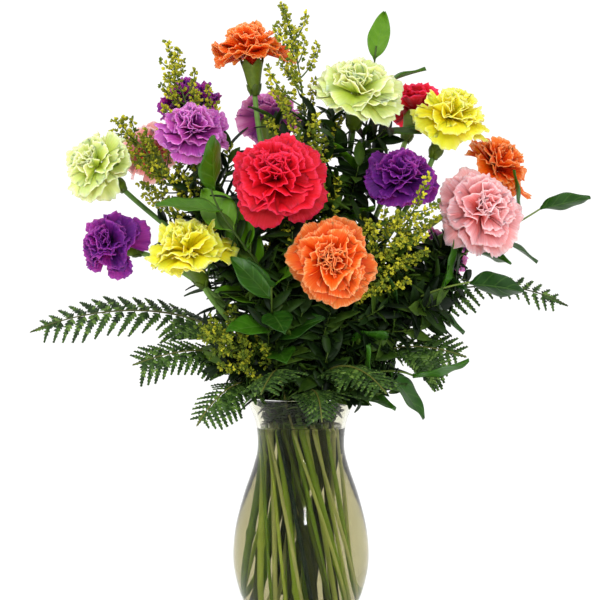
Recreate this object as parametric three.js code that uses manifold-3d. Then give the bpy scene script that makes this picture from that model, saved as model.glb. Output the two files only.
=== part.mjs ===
// A bunch of seventeen carnations with goldenrod, leatherleaf fern and broad-leaved sprigs,
// standing in a clear glass vase of water. Millimetres, +Z up, the viewer at -Y.
// The origin is the middle of the vase's foot.
import * as THREE from "three";
import { mergeVertices } from "three/addons/utils/BufferGeometryUtils.js";
import Module from "manifold-3d";

const wasm = await Module();
wasm.setup();

// ---------------------------------------------------------------- driving dimensions
const GAP = 0.3; // left between two pieces that touch
const CLEARANCE = 0.6; // least distance of leaves, leaflets and twigs from their neighbours
const STEM_CLEARANCE = 1.2; // least distance between stems, and of stems from heads
const SEGMENTS = 20; // sides of the round glass
const GLASS = 3; // thickness of the vase's wall
const FLOOR = 8; // thickness of its bottom
const WATER_LEVEL = 178;
const WAIST = 158; // height where the vase is narrowest
const NECK_REACH = 27; // stems cross the waist within this radius
const FAN_HEIGHT = 118; // below the waist the stems fan out by FAN_SPREAD over this drop
const FAN_SPREAD = 1.6;
const FAN_TURN = THREE.MathUtils.degToRad(55); // the spiral that the stems are set in
const FREE_FROM = 186; // above this height a stem bends its own way
const RIM_ROOM = 1.5; // a stem is out of the vase when it is this far above the rim
const OUTSIDE_ROOM = 4; // and a frond that hangs down outside keeps this far off the glass
const BLADE = 0.9; // thickness of petals, leaves and fronds
const HEAD_DEPTH = 0.42; // a head's middle is this share of its radius above its calyx

// Outside of the vase, [radius, height], from the foot up to the flared lip.
const VASE_OUTLINE = [
  [32.5, 0], [35, 4], [42, 27], [50, 46.5], [54.6, 70], [52.8, 96],
  [46, 123], [38.5, 145], [34.8, 162], [37, 183], [45.6, 203],
];
const RIM_HEIGHT = VASE_OUTLINE.at(-1)[1];

// Each carnation: where the middle of its head is, which way it faces, its outer radius
// and how many petals stand in its three rings, from the guard petals inwards. The first
// word of its name is its colour.
const FULL = [6, 6, 3];
const REAR = [6, 3, 3];
const CARNATIONS = [
  { name: "orange_top", at: [-40, 0, 482], aim: [-0.08, -0.1, 1], radius: 33, rings: FULL },
  { name: "green_top", at: [44, -35, 446], aim: [0.05, -0.75, 0.66], radius: 38, rings: FULL },
  { name: "yellow_right", at: [120, -5, 430], aim: [0.35, -0.2, 0.9], radius: 34, rings: FULL },
  { name: "red_back", at: [96, 62, 437], aim: [0.3, 0.45, 0.85], radius: 30, rings: REAR },
  { name: "orange_right", at: [162, 35, 389], aim: [0.68, -0.15, 0.7], radius: 33, rings: FULL },
  { name: "pink_right", at: [142, -35, 353], aim: [0.3, -0.9, 0.3], radius: 36, rings: FULL },
  { name: "purple_mid", at: [78, -45, 378], aim: [0, -0.78, 0.62], radius: 31, rings: FULL },
  { name: "purple_low", at: [-155, -30, 326], aim: [-0.8, -0.55, 0.25], radius: 29, rings: FULL },
  { name: "green_left", at: [-164, -10, 390], aim: [-0.55, -0.6, 0.58], radius: 32, rings: FULL },
  { name: "purple_top", at: [-93, 45, 442], aim: [-0.2, 0.3, 0.93], radius: 30, rings: REAR },
  { name: "lavender_left", at: [-86, -25, 414], aim: [-0.1, -0.8, 0.6], radius: 31, rings: FULL },
  { name: "red_centre", at: [-17, -90, 376], aim: [0, -0.96, 0.28], radius: 40, rings: FULL },
  { name: "yellow_left", at: [-87, -75, 322], aim: [-0.25, -0.7, 0.67], radius: 36, rings: FULL },
  { name: "orange_front", at: [23, -110, 314], aim: [0.05, -0.99, 0.12], radius: 35, rings: FULL },
  { name: "lavender_back", at: [-26, 60, 430], aim: [0, 0.55, 0.83], radius: 30, rings: REAR },
  { name: "pink_back", at: [-129, 75, 402], aim: [-0.5, 0.6, 0.62], radius: 29, rings: REAR },
  { name: "lavender_low", at: [123, 38, 320], aim: [0.75, 0.35, 0.55], radius: 24, rings: REAR },
];

// Goldenrod: the tip of each plume, which way it points, and how long the plume is.
const GOLDENRODS = [
  { name: "goldenrod_top", tip: [-16, -30, 514], aim: [-0.35, 0, 0.94], plume: 110 },
  { name: "goldenrod_left_top", tip: [-107, 8, 486], aim: [-0.25, 0, 0.97], plume: 85 },
  { name: "goldenrod_centre", tip: [12, -48, 418], aim: [0.1, -0.2, 0.97], plume: 80 },
  { name: "goldenrod_front", tip: [96, -85, 378], aim: [0.25, -0.3, 0.92], plume: 90 },
  { name: "goldenrod_left", tip: [-150, 12, 424], aim: [-0.75, 0, 0.66], plume: 85 },
  { name: "goldenrod_low", tip: [-72, -92, 262], aim: [-0.45, -0.8, 0.2], plume: 70 },
];

// Fern: the tip of each frond, which way it points, how long its leafy part is, how many
// pairs of leaflets it has, how long the longest are, and how far its face is rolled over
// towards the viewer, in degrees.
const FERNS = [
  { name: "fern_far_left", tip: [-220, 20, 252], aim: [-0.9, 0.05, -0.42],
    leafy: 170, pairs: 9, leaflet: 38, roll: 50 },
  { name: "fern_left", tip: [-132, -38, 230], aim: [-0.92, -0.2, -0.34],
    leafy: 115, pairs: 8, leaflet: 52, roll: 45 },
  { name: "fern_front_left", tip: [-80, -74, 186], aim: [-0.45, -0.3, -0.84],
    leafy: 95, pairs: 7, leaflet: 42, roll: 30 },
  { name: "fern_front_inner", tip: [-30, -112, 214], aim: [-0.25, -0.75, -0.6],
    leafy: 100, pairs: 7, leaflet: 46, roll: -15 },
  { name: "fern_front", tip: [16, -84, 190], aim: [0.1, -0.4, -0.9],
    leafy: 85, pairs: 6, leaflet: 38, roll: 0 },
  { name: "fern_front_right", tip: [64, -104, 214], aim: [0.45, -0.7, -0.55],
    leafy: 105, pairs: 7, leaflet: 46, roll: 15 },
  { name: "fern_far_right", tip: [215, 8, 274], aim: [0.85, 0, -0.5],
    leafy: 130, pairs: 8, leaflet: 24, roll: 50 },
  { name: "fern_right", tip: [130, -34, 236], aim: [0.92, -0.2, -0.34],
    leafy: 110, pairs: 8, leaflet: 50, roll: 45 },
  { name: "fern_back_left", tip: [-84, 92, 318], aim: [-0.6, 0.55, 0.5],
    leafy: 150, pairs: 8, leaflet: 54, roll: 0 },
  { name: "fern_back_right", tip: [86, 96, 312], aim: [0.55, 0.6, 0.5],
    leafy: 150, pairs: 8, leaflet: 54, roll: 0 },
];

// Broad-leaved sprigs: the tip of each, which way it points, how much of it is leafy,
// how many leaves it carries and how long they are.
const SPRIGS = [
  { name: "sprig_left", tip: [-69, -92, 374], aim: [-0.1, -0.2, 0.97], leafy: 110, leaves: 7, leaf: 50 },
  { name: "sprig_top", tip: [60, 2, 482], aim: [0.1, 0, 1], leafy: 150, leaves: 7, leaf: 46 },
  { name: "sprig_far_right", tip: [200, 0, 358], aim: [0.8, -0.1, 0.55], leafy: 110, leaves: 6, leaf: 42 },
  { name: "sprig_right", tip: [138, -42, 296], aim: [0.93, -0.1, 0.1], leafy: 110, leaves: 6, leaf: 46 },
  { name: "sprig_centre", tip: [-22, -92, 298], aim: [0.05, -0.6, 0.75], leafy: 75, leaves: 6, leaf: 44 },
  { name: "sprig_low", tip: [90, -50, 222], aim: [0.8, -0.45, -0.35], leafy: 75, leaves: 5, leaf: 46 },
];

// Each kind of stem: its radius, how far it keeps rising as it leaves the vase (lift, beyond
// a share of its length) and as it comes to its end (sweep, a share of its length), and how
// many straight steps it is made in.
const STEMS = {
  carnation: { radius: 2.5, lift: 0, sweep: 0.3, steps: 5 },
  goldenrod: { radius: 1.9, lift: 0, sweep: 0.35, steps: 6 },
  sprig: { radius: 1.8, lift: 0, sweep: 0.35, steps: 6 },
  fern: { radius: 1.4, lift: 22, sweep: 0.36, steps: 10 },
};
const STEM_SIDES = 5; // also the number of sepals on a calyx

const CLEAR = { transparent: true, opacity: 0.35, roughness: 0.05 };
const COLOURS = {
  orange: "#f0642c", green: "#dfe79a", yellow: "#f0e23e", red: "#e3243c",
  pink: "#f2a1a8", purple: "#5d1c80", lavender: "#b254c4",
  stem: "#5f8a45", goldenrod: "#9aa02a", fern: "#1d4a22", leaf: "#2f6420",
  glass: "#e8eee4", water: "#dfe8d8",
};

// ---------------------------------------------------------------- solids and meshes
const vec = (x, y, z) => new THREE.Vector3(x, y, z);
const unit = (xyz) => vec(...xyz).normalize();

// A closed surface from its corners and the triangles between them.
function surface(corners, triangles) {
  const geometry = new THREE.BufferGeometry().setFromPoints(corners);
  geometry.setIndex(triangles.flat());
  return geometry;
}

// The solid of a closed geometry, from its positions alone.
function solidOf(geometry) {
  const bare = new THREE.BufferGeometry();
  bare.setAttribute("position", geometry.getAttribute("position"));
  bare.setIndex(geometry.getIndex());
  const merged = mergeVertices(bare, 1e-3);
  return new wasm.Manifold(new wasm.Mesh({
    numProp: 3,
    vertProperties: merged.attributes.position.array,
    triVerts: new Uint32Array(merged.index.array),
  }));
}

function geometryOf(solid) {
  const mesh = solid.getMesh();
  const geometry = new THREE.BufferGeometry();
  geometry.setAttribute("position", new THREE.BufferAttribute(mesh.vertProperties, 3));
  geometry.setIndex(new THREE.BufferAttribute(mesh.triVerts, 1));
  return geometry;
}

const everything = new THREE.Group();
const placed = []; // world-space solids, which later pieces keep clear of

function addMesh(name, geometry, colour, looks = {}) {
  const material = new THREE.MeshStandardMaterial({ color: colour, roughness: 0.6, ...looks });
  const mesh = new THREE.Mesh(geometry, material);
  mesh.name = name;
  everything.add(mesh);
  return mesh;
}

const withBox = (name, solid) => ({ name, solid, box: solid.boundingBox() });

function addSolid(name, solid, colour) {
  placed.push(withBox(name, solid));
  return addMesh(name, geometryOf(solid), colour);
}

function boxesMeet(a, b, margin) {
  return [0, 1, 2].every((k) => a.min[k] - margin < b.max[k] && b.min[k] - margin < a.max[k]);
}

// Whether a small solid keeps its distance from everything that is already in place, and
// doesn't touch its siblings in the same node.
function isClear(solid, siblings = []) {
  const box = solid.boundingBox();
  const keepsOff = (other, distance) =>
    !boxesMeet(box, other.box, distance) || solid.minGap(other.solid, distance) >= distance;
  return placed.every((other) => keepsOff(other, CLEARANCE)) && siblings.every((other) => keepsOff(other, 0.1));
}

// ---------------------------------------------------------------- vase and water
function outsideRadius(height) {
  const z = Math.min(height, RIM_HEIGHT);
  const k = Math.max(1, VASE_OUTLINE.findIndex(([, level]) => level >= z));
  const [[r0, z0], [r1, z1]] = [VASE_OUTLINE[k - 1], VASE_OUTLINE[k]];
  return r0 + ((r1 - r0) * (z - z0)) / (z1 - z0);
}
const insideRadius = (z) => outsideRadius(z) - GLASS;

function lathe(profile) {
  const points = profile.map(([r, z]) => new THREE.Vector2(r, z));
  return new THREE.LatheGeometry(points, SEGMENTS).rotateX(Math.PI / 2);
}

const FLOOR_ROUNDING = 2; // the floor's edge is this much narrower than the wall above it

function vaseGeometry() {
  const inside = VASE_OUTLINE.filter(([, z]) => z > FLOOR).map(([r, z]) => [r - GLASS, z]);
  const floorEdge = [insideRadius(FLOOR) - FLOOR_ROUNDING, FLOOR];
  return lathe([[0, 0], ...VASE_OUTLINE, ...inside.reverse(), floorEdge, [0, FLOOR]]);
}

function waterGeometry() {
  const wetted = VASE_OUTLINE.filter(([, z]) => z > FLOOR && z < WATER_LEVEL);
  const side = wetted.map(([r, z]) => [r - GLASS - GAP, z]);
  const bottom = [insideRadius(FLOOR) - FLOOR_ROUNDING - GAP, FLOOR + GAP];
  const top = [insideRadius(WATER_LEVEL) - GAP, WATER_LEVEL];
  return lathe([[0, FLOOR + GAP], bottom, ...side, top, [0, WATER_LEVEL]]);
}

// ---------------------------------------------------------------- how the stems run
// In the vase every stem is straight, and all of them lean the same way round, so that
// none meets another: at a height, the whole bunch is one pattern, turned and spread.
function inVase(slot, z) {
  const share = (WAIST - z) / FAN_HEIGHT;
  const re = 1 + share * (FAN_SPREAD * Math.cos(FAN_TURN) - 1);
  const im = share * FAN_SPREAD * Math.sin(FAN_TURN);
  return vec(slot[0] * re - slot[1] * im, slot[0] * im + slot[1] * re, z);
}

// The k-th of n places where stems cross the waist, in a sunflower's pattern.
function slotPlace(k, n) {
  const r = NECK_REACH * Math.sqrt((k + 0.5) / n);
  const a = k * Math.PI * (3 - Math.sqrt(5));
  return [r * Math.cos(a), r * Math.sin(a)];
}

// The lower end of a stem: just above the floor, or where it comes near the glass.
const FOOT_ROOM = 4;
function footHeight(slot, radius) {
  const lowest = FLOOR + FOOT_ROOM;
  let z = WAIST;
  for (; z > lowest; z -= 1) {
    const { x, y } = inVase(slot, z - 1);
    if (Math.hypot(x, y) + radius + FOOT_ROOM / 2 > insideRadius(z - 1)) break;
  }
  return z;
}

// Where a stem would like to cross the waist: towards its head, and further out the more
// the way there slopes.
function wishedSlot({ end }) {
  const slope = Math.atan2(Math.hypot(end.x, end.y), end.z - WAIST) / (Math.PI / 2);
  const reach = NECK_REACH * Math.min(1, 0.15 + 1.1 * slope);
  const angle = Math.atan2(end.y, end.x);
  return [reach * Math.cos(angle), reach * Math.sin(angle)];
}

// Gives each stem a slot near the one it wishes for: pairs swap while that brings them nearer.
function giveSlots(stems) {
  const n = stems.length;
  const slots = stems.map((_, k) => slotPlace(k, n));
  const wishes = stems.map(wishedSlot);
  const miss = (i, k) => (wishes[i][0] - slots[k][0]) ** 2 + (wishes[i][1] - slots[k][1]) ** 2;
  const owner = stems.map((_, k) => k);
  for (let swapped = true; swapped; ) {
    swapped = false;
    for (let i = 0; i < n; i++)
      for (let j = i + 1; j < n; j++)
        if (miss(i, owner[j]) + miss(j, owner[i]) < miss(i, owner[i]) + miss(j, owner[j]) - 1e-9) {
          [owner[i], owner[j]] = [owner[j], owner[i]];
          swapped = true;
        }
  }
  stems.forEach((stem, i) => { stem.slot = slots[owner[i]]; });
}

// The free part of a stem, from the water to its end, pushed sideways in the middle by a bend.
// It is followed in straight steps, so that every piece on it keeps to the same line.
function freePath(stem, bend) {
  const start = inVase(stem.slot, FREE_FROM);
  const rise = start.clone().sub(inVase(stem.slot, FREE_FROM - 10)).normalize();
  const span = start.distanceTo(stem.end);
  const curve = new THREE.CubicBezierCurve3(
    start,
    start.clone().addScaledVector(rise, span * 0.38 + stem.lift),
    stem.end.clone().addScaledVector(stem.aim, -span * stem.sweep),
    stem.end,
  );
  const places = Array.from({ length: stem.steps + 1 }, (_, k) => {
    const t = k / stem.steps;
    const push = 16 * t * t * (1 - t) * (1 - t);
    return curve.getPoint(t).add(vec(bend[0] * push, bend[1] * push, 0));
  });
  return (t) => {
    const k = Math.min(stem.steps - 1, Math.floor(t * stem.steps));
    return places[k].clone().lerp(places[k + 1], t * stem.steps - k);
  };
}

// Bends to try, in millimetres: none first, then wider and wider ones to eight sides.
const BENDS = [[0, 0]];
for (const size of [5, 10, 15, 21, 28])
  for (let k = 0; k < 8; k++)
    BENDS.push([size * Math.cos((k * Math.PI) / 4), size * Math.sin((k * Math.PI) / 4)]);

const PATH_SAMPLES = 48;
const obstacles = []; // points with a radius that stems keep clear of

const PLUME_ROOM = 1.5; // a goldenrod's upper part is this much fatter than its stem

// The least room along a path: to the glass, inside it first and outside it once the path
// has risen over the rim, and to every obstacle.
function roomAround(path, stem) {
  let room = Infinity;
  let isOut = false;
  for (let i = 0; i <= PATH_SAMPLES; i++) {
    const p = path(i / PATH_SAMPLES);
    const reach = Math.hypot(p.x, p.y);
    const radius = stem.radius + (stem.plume && i > PATH_SAMPLES * 0.7 ? PLUME_ROOM : 0);
    const isAbove = p.z > RIM_HEIGHT + radius + RIM_ROOM;
    isOut ||= isAbove;
    if (!isOut) room = Math.min(room, insideRadius(p.z) - radius - STEM_CLEARANCE - reach);
    else if (!isAbove) room = Math.min(room, reach - outsideRadius(p.z) - radius - OUTSIDE_ROOM);
    for (const o of obstacles) {
      const between = Math.hypot(p.x - o.x, p.y - o.y, p.z - o.z) - o.radius - radius;
      if (o.owner !== stem.name) room = Math.min(room, between - STEM_CLEARANCE);
    }
  }
  return room;
}

// Bends a stem clear of the heads and of the stems that are already in place.
function route(stem) {
  let best = { room: -Infinity };
  for (const bend of BENDS) {
    const path = freePath(stem, bend);
    const room = roomAround(path, stem);
    if (room > best.room) best = { room, path };
    if (room >= 0) break;
  }
  stem.path = best.path;
  for (let i = 0; i <= PATH_SAMPLES; i++) {
    const p = stem.path(i / PATH_SAMPLES);
    obstacles.push({ x: p.x, y: p.y, z: p.z, radius: stem.radius, owner: stem.name });
  }
}

// ---------------------------------------------------------------- lofted pieces
const polygon = (sides, radius, turn = 0) => Array.from({ length: sides }, (_, k) => {
  const a = turn - (k * 2 * Math.PI) / sides;
  return [radius * Math.cos(a), radius * Math.sin(a)];
});

// The way that a path runs at t.
const heading = (path, t) => path(Math.min(1, t + 0.05)).sub(path(Math.max(0, t - 0.05))).normalize();

const squareTo = (side, along) => side.clone().addScaledVector(along, -side.dot(along)).normalize();

// Rings along a path. Each station has a place, the path's direction there and the section's
// corners as [sideways, upwards] offsets. The sideways direction is carried on from ring to
// ring, squared to the path each time, so that the skin never twists.
function ringsAlong(stations, firstSide) {
  let side = firstSide;
  return stations.map(({ place, along, corners }) => {
    side = squareTo(side, along);
    const lift = side.clone().cross(along);
    return corners.map(([s, u]) => place.clone().addScaledVector(side, s).addScaledVector(lift, u));
  });
}

// Skins rings of equal size and closes the two ends; a single point closes one to a tip.
// Quads that isOpen names, by ring and side, are left out for a blade to grow there.
function loftSkin(rings, isOpen = () => false) {
  const corners = rings.flat();
  const triangles = [];
  const first = rings.map((_, i) => rings.slice(0, i).reduce((sum, ring) => sum + ring.length, 0));
  const last = rings.length - 1;
  for (let i = 0; i < last; i++) {
    const [a, b] = [rings[i].length, rings[i + 1].length];
    for (let k = 0; k < Math.max(a, b); k++) {
      if (isOpen(i, k)) continue;
      const [a0, a1] = [first[i] + (k % a), first[i] + ((k + 1) % a)];
      const [b0, b1] = [first[i + 1] + (k % b), first[i + 1] + ((k + 1) % b)];
      if (a > 1) triangles.push([a0, a1, b0]);
      if (b > 1) triangles.push([b0, a1, b1]);
    }
  }
  const end = first[last];
  for (let k = 1; k + 1 < rings[0].length; k++) triangles.push([0, k + 1, k]);
  for (let k = 1; k + 1 < rings[last].length; k++) triangles.push([end, end + k, end + k + 1]);
  return { corners, triangles, first, rings };
}

const solidOfSkin = ({ corners, triangles }) => solidOf(surface(corners, triangles));

const loft = (rings) => solidOfSkin(loftSkin(rings));

// The corners of the quad on side k between rings i and i + 1, as the root of a blade that
// stands square to the path: upper and lower at its first end, then at its other end.
function quadAt({ first, rings }, i, k) {
  const next = (k + 1) % rings[i].length;
  return [first[i + 1] + k, first[i] + k, first[i + 1] + next, first[i] + next];
}

// Grows a thin blade out of an open quad. Its points run round the outline from the root's
// first end to its other end, and inner points follow; half is half its thickness, upwards.
// Both faces are split into the same triangles, which count the root's ends as points too.
function graft(skin, [u0, l0, u1, l1], { outline, inner = [], half, faces }) {
  const start = skin.corners.length;
  const last = outline.length + 1;
  const middle = [...outline, ...inner];
  skin.corners.push(...middle.map((p) => p.clone().add(half)), ...middle.map((p) => p.clone().sub(half)));
  const own = (q) => start + q - (q < last ? 1 : 2);
  const upper = (q) => (q === 0 ? u0 : q === last ? u1 : own(q));
  const lower = (q) => (q === 0 ? l0 : q === last ? l1 : own(q) + middle.length);
  for (const [a, b, c] of faces)
    skin.triangles.push([upper(a), upper(b), upper(c)], [lower(a), lower(c), lower(b)]);
  for (let q = 0; q < last; q++)
    skin.triangles.push([upper(q), lower(q), lower(q + 1)], [upper(q), lower(q + 1), upper(q + 1)]);
}

// The same blade as a solid of its own, to try whether there is room for it.
function bladeAlone(skin, root, shape) {
  const alone = { corners: root.map((q) => skin.corners[q]), triangles: [[2, 3, 1], [2, 1, 0]] };
  graft(alone, [0, 1, 2, 3], shape);
  return solidOfSkin(alone);
}

const bareQuad = (skin, [u0, l0, u1, l1]) => skin.triangles.push([l0, l1, u0], [u0, l1, u1]);

// The middle of a quad on a skin.
const middleOf = (skin, quad) =>
  quad.reduce((sum, q) => sum.add(skin.corners[q]), vec(0, 0, 0)).multiplyScalar(1 / quad.length);

const evenly = (steps) => Array.from({ length: steps + 1 }, (_, k) => k / steps);

// Stations of a stem from its foot in the vase and then along its free part.
function stemStations(stem, corners, steps) {
  const foot = inVase(stem.slot, footHeight(stem.slot, stem.radius));
  const along = inVase(stem.slot, FREE_FROM).sub(foot).normalize();
  const free = steps.map((t) => ({ place: stem.path(t), along: heading(stem.path, t), corners }));
  return [{ place: foot, along, corners }, ...free];
}

// Sideways on a stem that arches outwards is level.
function levelSide(stem) {
  const out = stem.end.clone().sub(stem.start);
  return vec(out.y, -out.x, 0).normalize();
}

const stemRings = (stem, corners, steps) => ringsAlong(stemStations(stem, corners, steps), levelSide(stem));

// The same stem a little fatter and only where it is straight: the hole it stands in.
function holeInWater(stem) {
  const cornerGap = GAP / Math.cos(Math.PI / STEM_SIDES);
  const corners = stem.section.map(([s, u]) => {
    const grown = 1 + cornerGap / Math.hypot(s, u);
    return [s * grown, u * grown];
  });
  const [foot] = stemStations(stem, corners, []);
  foot.place.addScaledVector(foot.along, -GAP);
  const top = { ...foot, place: inVase(stem.slot, FREE_FROM) };
  return loft(ringsAlong([foot, top], levelSide(stem)));
}

// ---------------------------------------------------------------- carnations
// A calyx and the claws in it, for a head of the usual radius; others are in proportion.
const USUAL_HEAD = 36;
const CALYX_LENGTH = 27;
const CALYX_RIM = 9.6;
const CALYX_WALL = 1;
const CALYX_DEPTH = 9; // how deep it is hollow
const CLAW_GAP = 0.5;
// Radius of the green cup at shares of its length, from the stem to the petals.
const CALYX_SHAPE = [[0.0, 3.4], [0.14, 5.2], [0.32, 5.6], [0.7, 7.6], [1, CALYX_RIM]];

function carnationStem(flower) {
  const { stem, aim, size } = flower;
  const stations = stemStations(stem, stem.section, evenly(stem.steps).slice(0, -1));
  const cupRing = (share, radius) => stations.push({
    place: stem.end.clone().addScaledVector(aim, share * CALYX_LENGTH * size),
    along: aim,
    corners: polygon(STEM_SIDES, radius * size),
  });
  CALYX_SHAPE.forEach(([share, radius]) => cupRing(share, radius));
  cupRing(1, CALYX_RIM - CALYX_WALL);
  const bottom = flower.base.clone().addScaledVector(aim, -CALYX_DEPTH * size);
  return loft([...ringsAlong(stations, levelSide(stem)), [bottom]]);
}

// The rings of petals: how far each ring's petals rise above the horizontal, the height and
// radius of their roots, their length and how wide they fan out. All but the angles are
// shares of the head's radius.
const PETAL_RINGS = [
  { rise: 5, height: 0.11, inset: 0.2, length: 0.82, spread: 30 },
  { rise: 40, height: 0.3, inset: 0.26, length: 0.74, spread: 28 },
  { rise: 66, height: 0.47, inset: 0.2, length: 0.56, spread: 40 },
];
const HEART_TOP = 0.66;
const PETAL_SIDES = 6;
const PETAL_WAVE = 0.08;
const EDGE_POINTS = 5; // on a petal's outer edge
const PETAL_FACES = [[0, 1, 2], [0, 2, 3], [0, 3, 6], [6, 3, 4], [6, 4, 5]];

const headRing = (radius, z, turn) => polygon(PETAL_SIDES, radius, -turn).map(([x, y]) => vec(x, -y, z));

// A head of petals on a heart; below it the bundle of claws that fits inside the calyx.
// Each ring of petals is turned by half a petal against the one below.
function carnationHead({ radius, size, rings: counts }) {
  const claw = ((CALYX_RIM - CALYX_WALL) * Math.cos(Math.PI / STEM_SIDES) - CLAW_GAP) * size;
  const rings = [[vec(0, 0, (2 * CLAW_GAP - CALYX_DEPTH) * size)], headRing(claw, 0.1, 0)];
  PETAL_RINGS.forEach(({ rise, height, inset }, layer) => {
    const thick = BLADE / Math.cos(THREE.MathUtils.degToRad(rise));
    const turn = (layer * Math.PI) / PETAL_SIDES;
    rings.push(headRing(inset * radius, height * radius, turn));
    rings.push(headRing(inset * radius, height * radius + thick, turn));
  });
  rings.push([vec(0, 0, HEART_TOP * radius)]);
  const layerOf = (i) => (i >= 2 && i % 2 === 0 && i < 2 + 2 * counts.length ? (i - 2) / 2 : -1);
  const hasPetal = (i, k) => layerOf(i) >= 0 && k % (PETAL_SIDES / counts[layerOf(i)]) === 0;
  const skin = loftSkin(rings, hasPetal);
  rings.forEach((_, i) => {
    for (let k = 0; k < PETAL_SIDES; k++) {
      if (!hasPetal(i, k)) continue;
      const angle = ((k + 0.5 + layerOf(i) / 2) * 2 * Math.PI) / PETAL_SIDES;
      graft(skin, quadAt(skin, i, k), petal(PETAL_RINGS[layerOf(i)], angle, radius, k % 2 ? 1 : -1));
    }
  });
  return solidOfSkin(skin);
}

// One petal: a fan with a waved outer edge. flip turns the waves over.
function petal({ rise, height, inset, length, spread }, angle, radius, flip) {
  const lean = THREE.MathUtils.degToRad(rise);
  const outward = vec(Math.cos(angle), Math.sin(angle), 0);
  const across = vec(-Math.sin(angle), Math.cos(angle), 0);
  const along = outward.clone().multiplyScalar(Math.cos(lean)).add(vec(0, 0, Math.sin(lean)));
  const normal = outward.clone().multiplyScalar(-Math.sin(lean)).add(vec(0, 0, Math.cos(lean)));
  const rootRadius = radius * inset * Math.cos(Math.PI / PETAL_SIDES);
  const root = outward.clone().multiplyScalar(rootRadius).add(vec(0, 0, radius * height));
  const outline = Array.from({ length: EDGE_POINTS }, (_, k) => {
    const u = (2 * k) / (EDGE_POINTS - 1) - 1;
    const fan = THREE.MathUtils.degToRad(spread) * u;
    const reach = radius * length * (1 - 0.1 * u * u);
    return root.clone()
      .addScaledVector(along, reach * Math.cos(fan))
      .addScaledVector(across, reach * Math.sin(fan))
      .addScaledVector(normal, radius * PETAL_WAVE * (k % 2 ? 1 : -1) * flip);
  });
  return { outline, half: normal.multiplyScalar(BLADE / 2), faces: PETAL_FACES };
}

// ---------------------------------------------------------------- goldenrod
// Clusters of florets make a twig swell and narrow again and again.
const TWIGS = 4;
const TWIG_BEADS = [1.3, 3.1, 1.3, 3.2, 1.4];
const CROWN_BEADS = [1.3, 3.0, 1.4, 3.2, 1.3, 2.8];
const TWIG_ROOT = 2.6; // height of the band that a twig grows from

const crownFrom = (spray) => 1 - (spray.plume / spray.start.distanceTo(spray.end)) * 0.33;

// Rings of the main stem. Bands for the twigs come first, then the beaded crown.
function goldenrodRings(spray) {
  const span = spray.start.distanceTo(spray.end);
  const leafyFrom = 1 - (spray.plume / span) * 0.9;
  const top = crownFrom(spray);
  spray.nodes = Array.from({ length: TWIGS }, (_, k) => leafyFrom + ((top - leafyFrom) * (k + 0.3)) / TWIGS);
  const bare = evenly(spray.steps).filter((t) => t < leafyFrom - 0.03);
  const bands = spray.nodes.flatMap((t) => [t, t + TWIG_ROOT / span]);
  const stations = stemStations(spray, spray.section, [...bare, ...bands]);
  spray.firstNode = bare.length + 1;
  CROWN_BEADS.forEach((radius, i) => {
    const t = top + ((1 - top) * i) / CROWN_BEADS.length;
    const corners = polygon(STEM_SIDES, radius, (i * Math.PI) / STEM_SIDES);
    stations.push({ place: spray.path(t), along: heading(spray.path, t), corners });
  });
  return [...ringsAlong(stations, levelSide(spray)), [spray.path(1)]];
}

function goldenrodSpray(spray) {
  const rings = goldenrodRings(spray);
  const { firstNode } = spray;
  const isBand = (i) => i >= firstNode && i < firstNode + 2 * TWIGS && (i - firstNode) % 2 === 0;
  const skin = loftSkin(rings, isBand);
  const twigs = [];
  spray.nodes.forEach((t, order) => {
    const i = firstNode + 2 * order;
    const chosen = addTwig(spray, skin, i, t, order, twigs);
    for (let k = 0; k < STEM_SIDES; k++) if (k !== chosen) bareQuad(skin, quadAt(skin, i, k));
  });
  return solidOfSkin(skin);
}

// Grows a twig that arches out and up, from the side of the stem where it is clear.
function addTwig(spray, skin, i, t, order, siblings) {
  const along = heading(spray.path, t);
  for (const size of [1, 0.75, 0.5])
    for (let turn = 0; turn < STEM_SIDES; turn++) {
      const k = (2 * order + turn) % STEM_SIDES;
      const [u0, l0, u1, l1] = quadAt(skin, i, k);
      const root = [l0, l1, u1, u0];
      const place = middleOf(skin, root);
      const out = squareTo(place.clone().sub(spray.path(t)), along);
      const rings = twigRings(place, out, along, size * spray.plume * (0.45 - 0.04 * order));
      const twig = loft([root.map((q) => skin.corners[q]), ...rings]);
      if (!isClear(twig, siblings)) continue;
      siblings.push(withBox("twig", twig));
      graftTube(skin, root, rings);
      return k;
    }
  return -1;
}

function twigRings(place, out, along, length) {
  const curve = new THREE.QuadraticBezierCurve3(
    place,
    place.clone().addScaledVector(out, length * 0.45).addScaledVector(along, length * 0.25),
    place.clone().addScaledVector(out, length * 0.62).addScaledVector(along, length * 0.75),
  );
  const across = along.clone().cross(out);
  const rings = TWIG_BEADS.map((radius, j) => {
    const t = (j + 0.6) / TWIG_BEADS.length;
    const ahead = curve.getTangent(t);
    const side = squareTo(across, ahead);
    const lift = ahead.clone().cross(side);
    return [5, 7, 1, 3].map((eighths) => {
      const angle = ((eighths + (j % 2)) * Math.PI) / 4;
      const spot = curve.getPoint(t).addScaledVector(side, radius * Math.cos(angle));
      return spot.addScaledVector(lift, radius * Math.sin(angle));
    });
  });
  return [...rings, [curve.getPoint(1)]];
}

// Grows a tube out of an open quad, whose corners are its first ring.
function graftTube(skin, root, rings) {
  let from = root;
  for (const ring of rings) {
    const to = from.map((_, q) => skin.corners.length + (q % ring.length));
    skin.corners.push(...ring);
    from.forEach((a0, q) => {
      const next = (q + 1) % from.length;
      skin.triangles.push([a0, from[next], to[q]]);
      if (ring.length > 1) skin.triangles.push([to[q], from[next], to[next]]);
    });
    from = to;
  }
}

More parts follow.
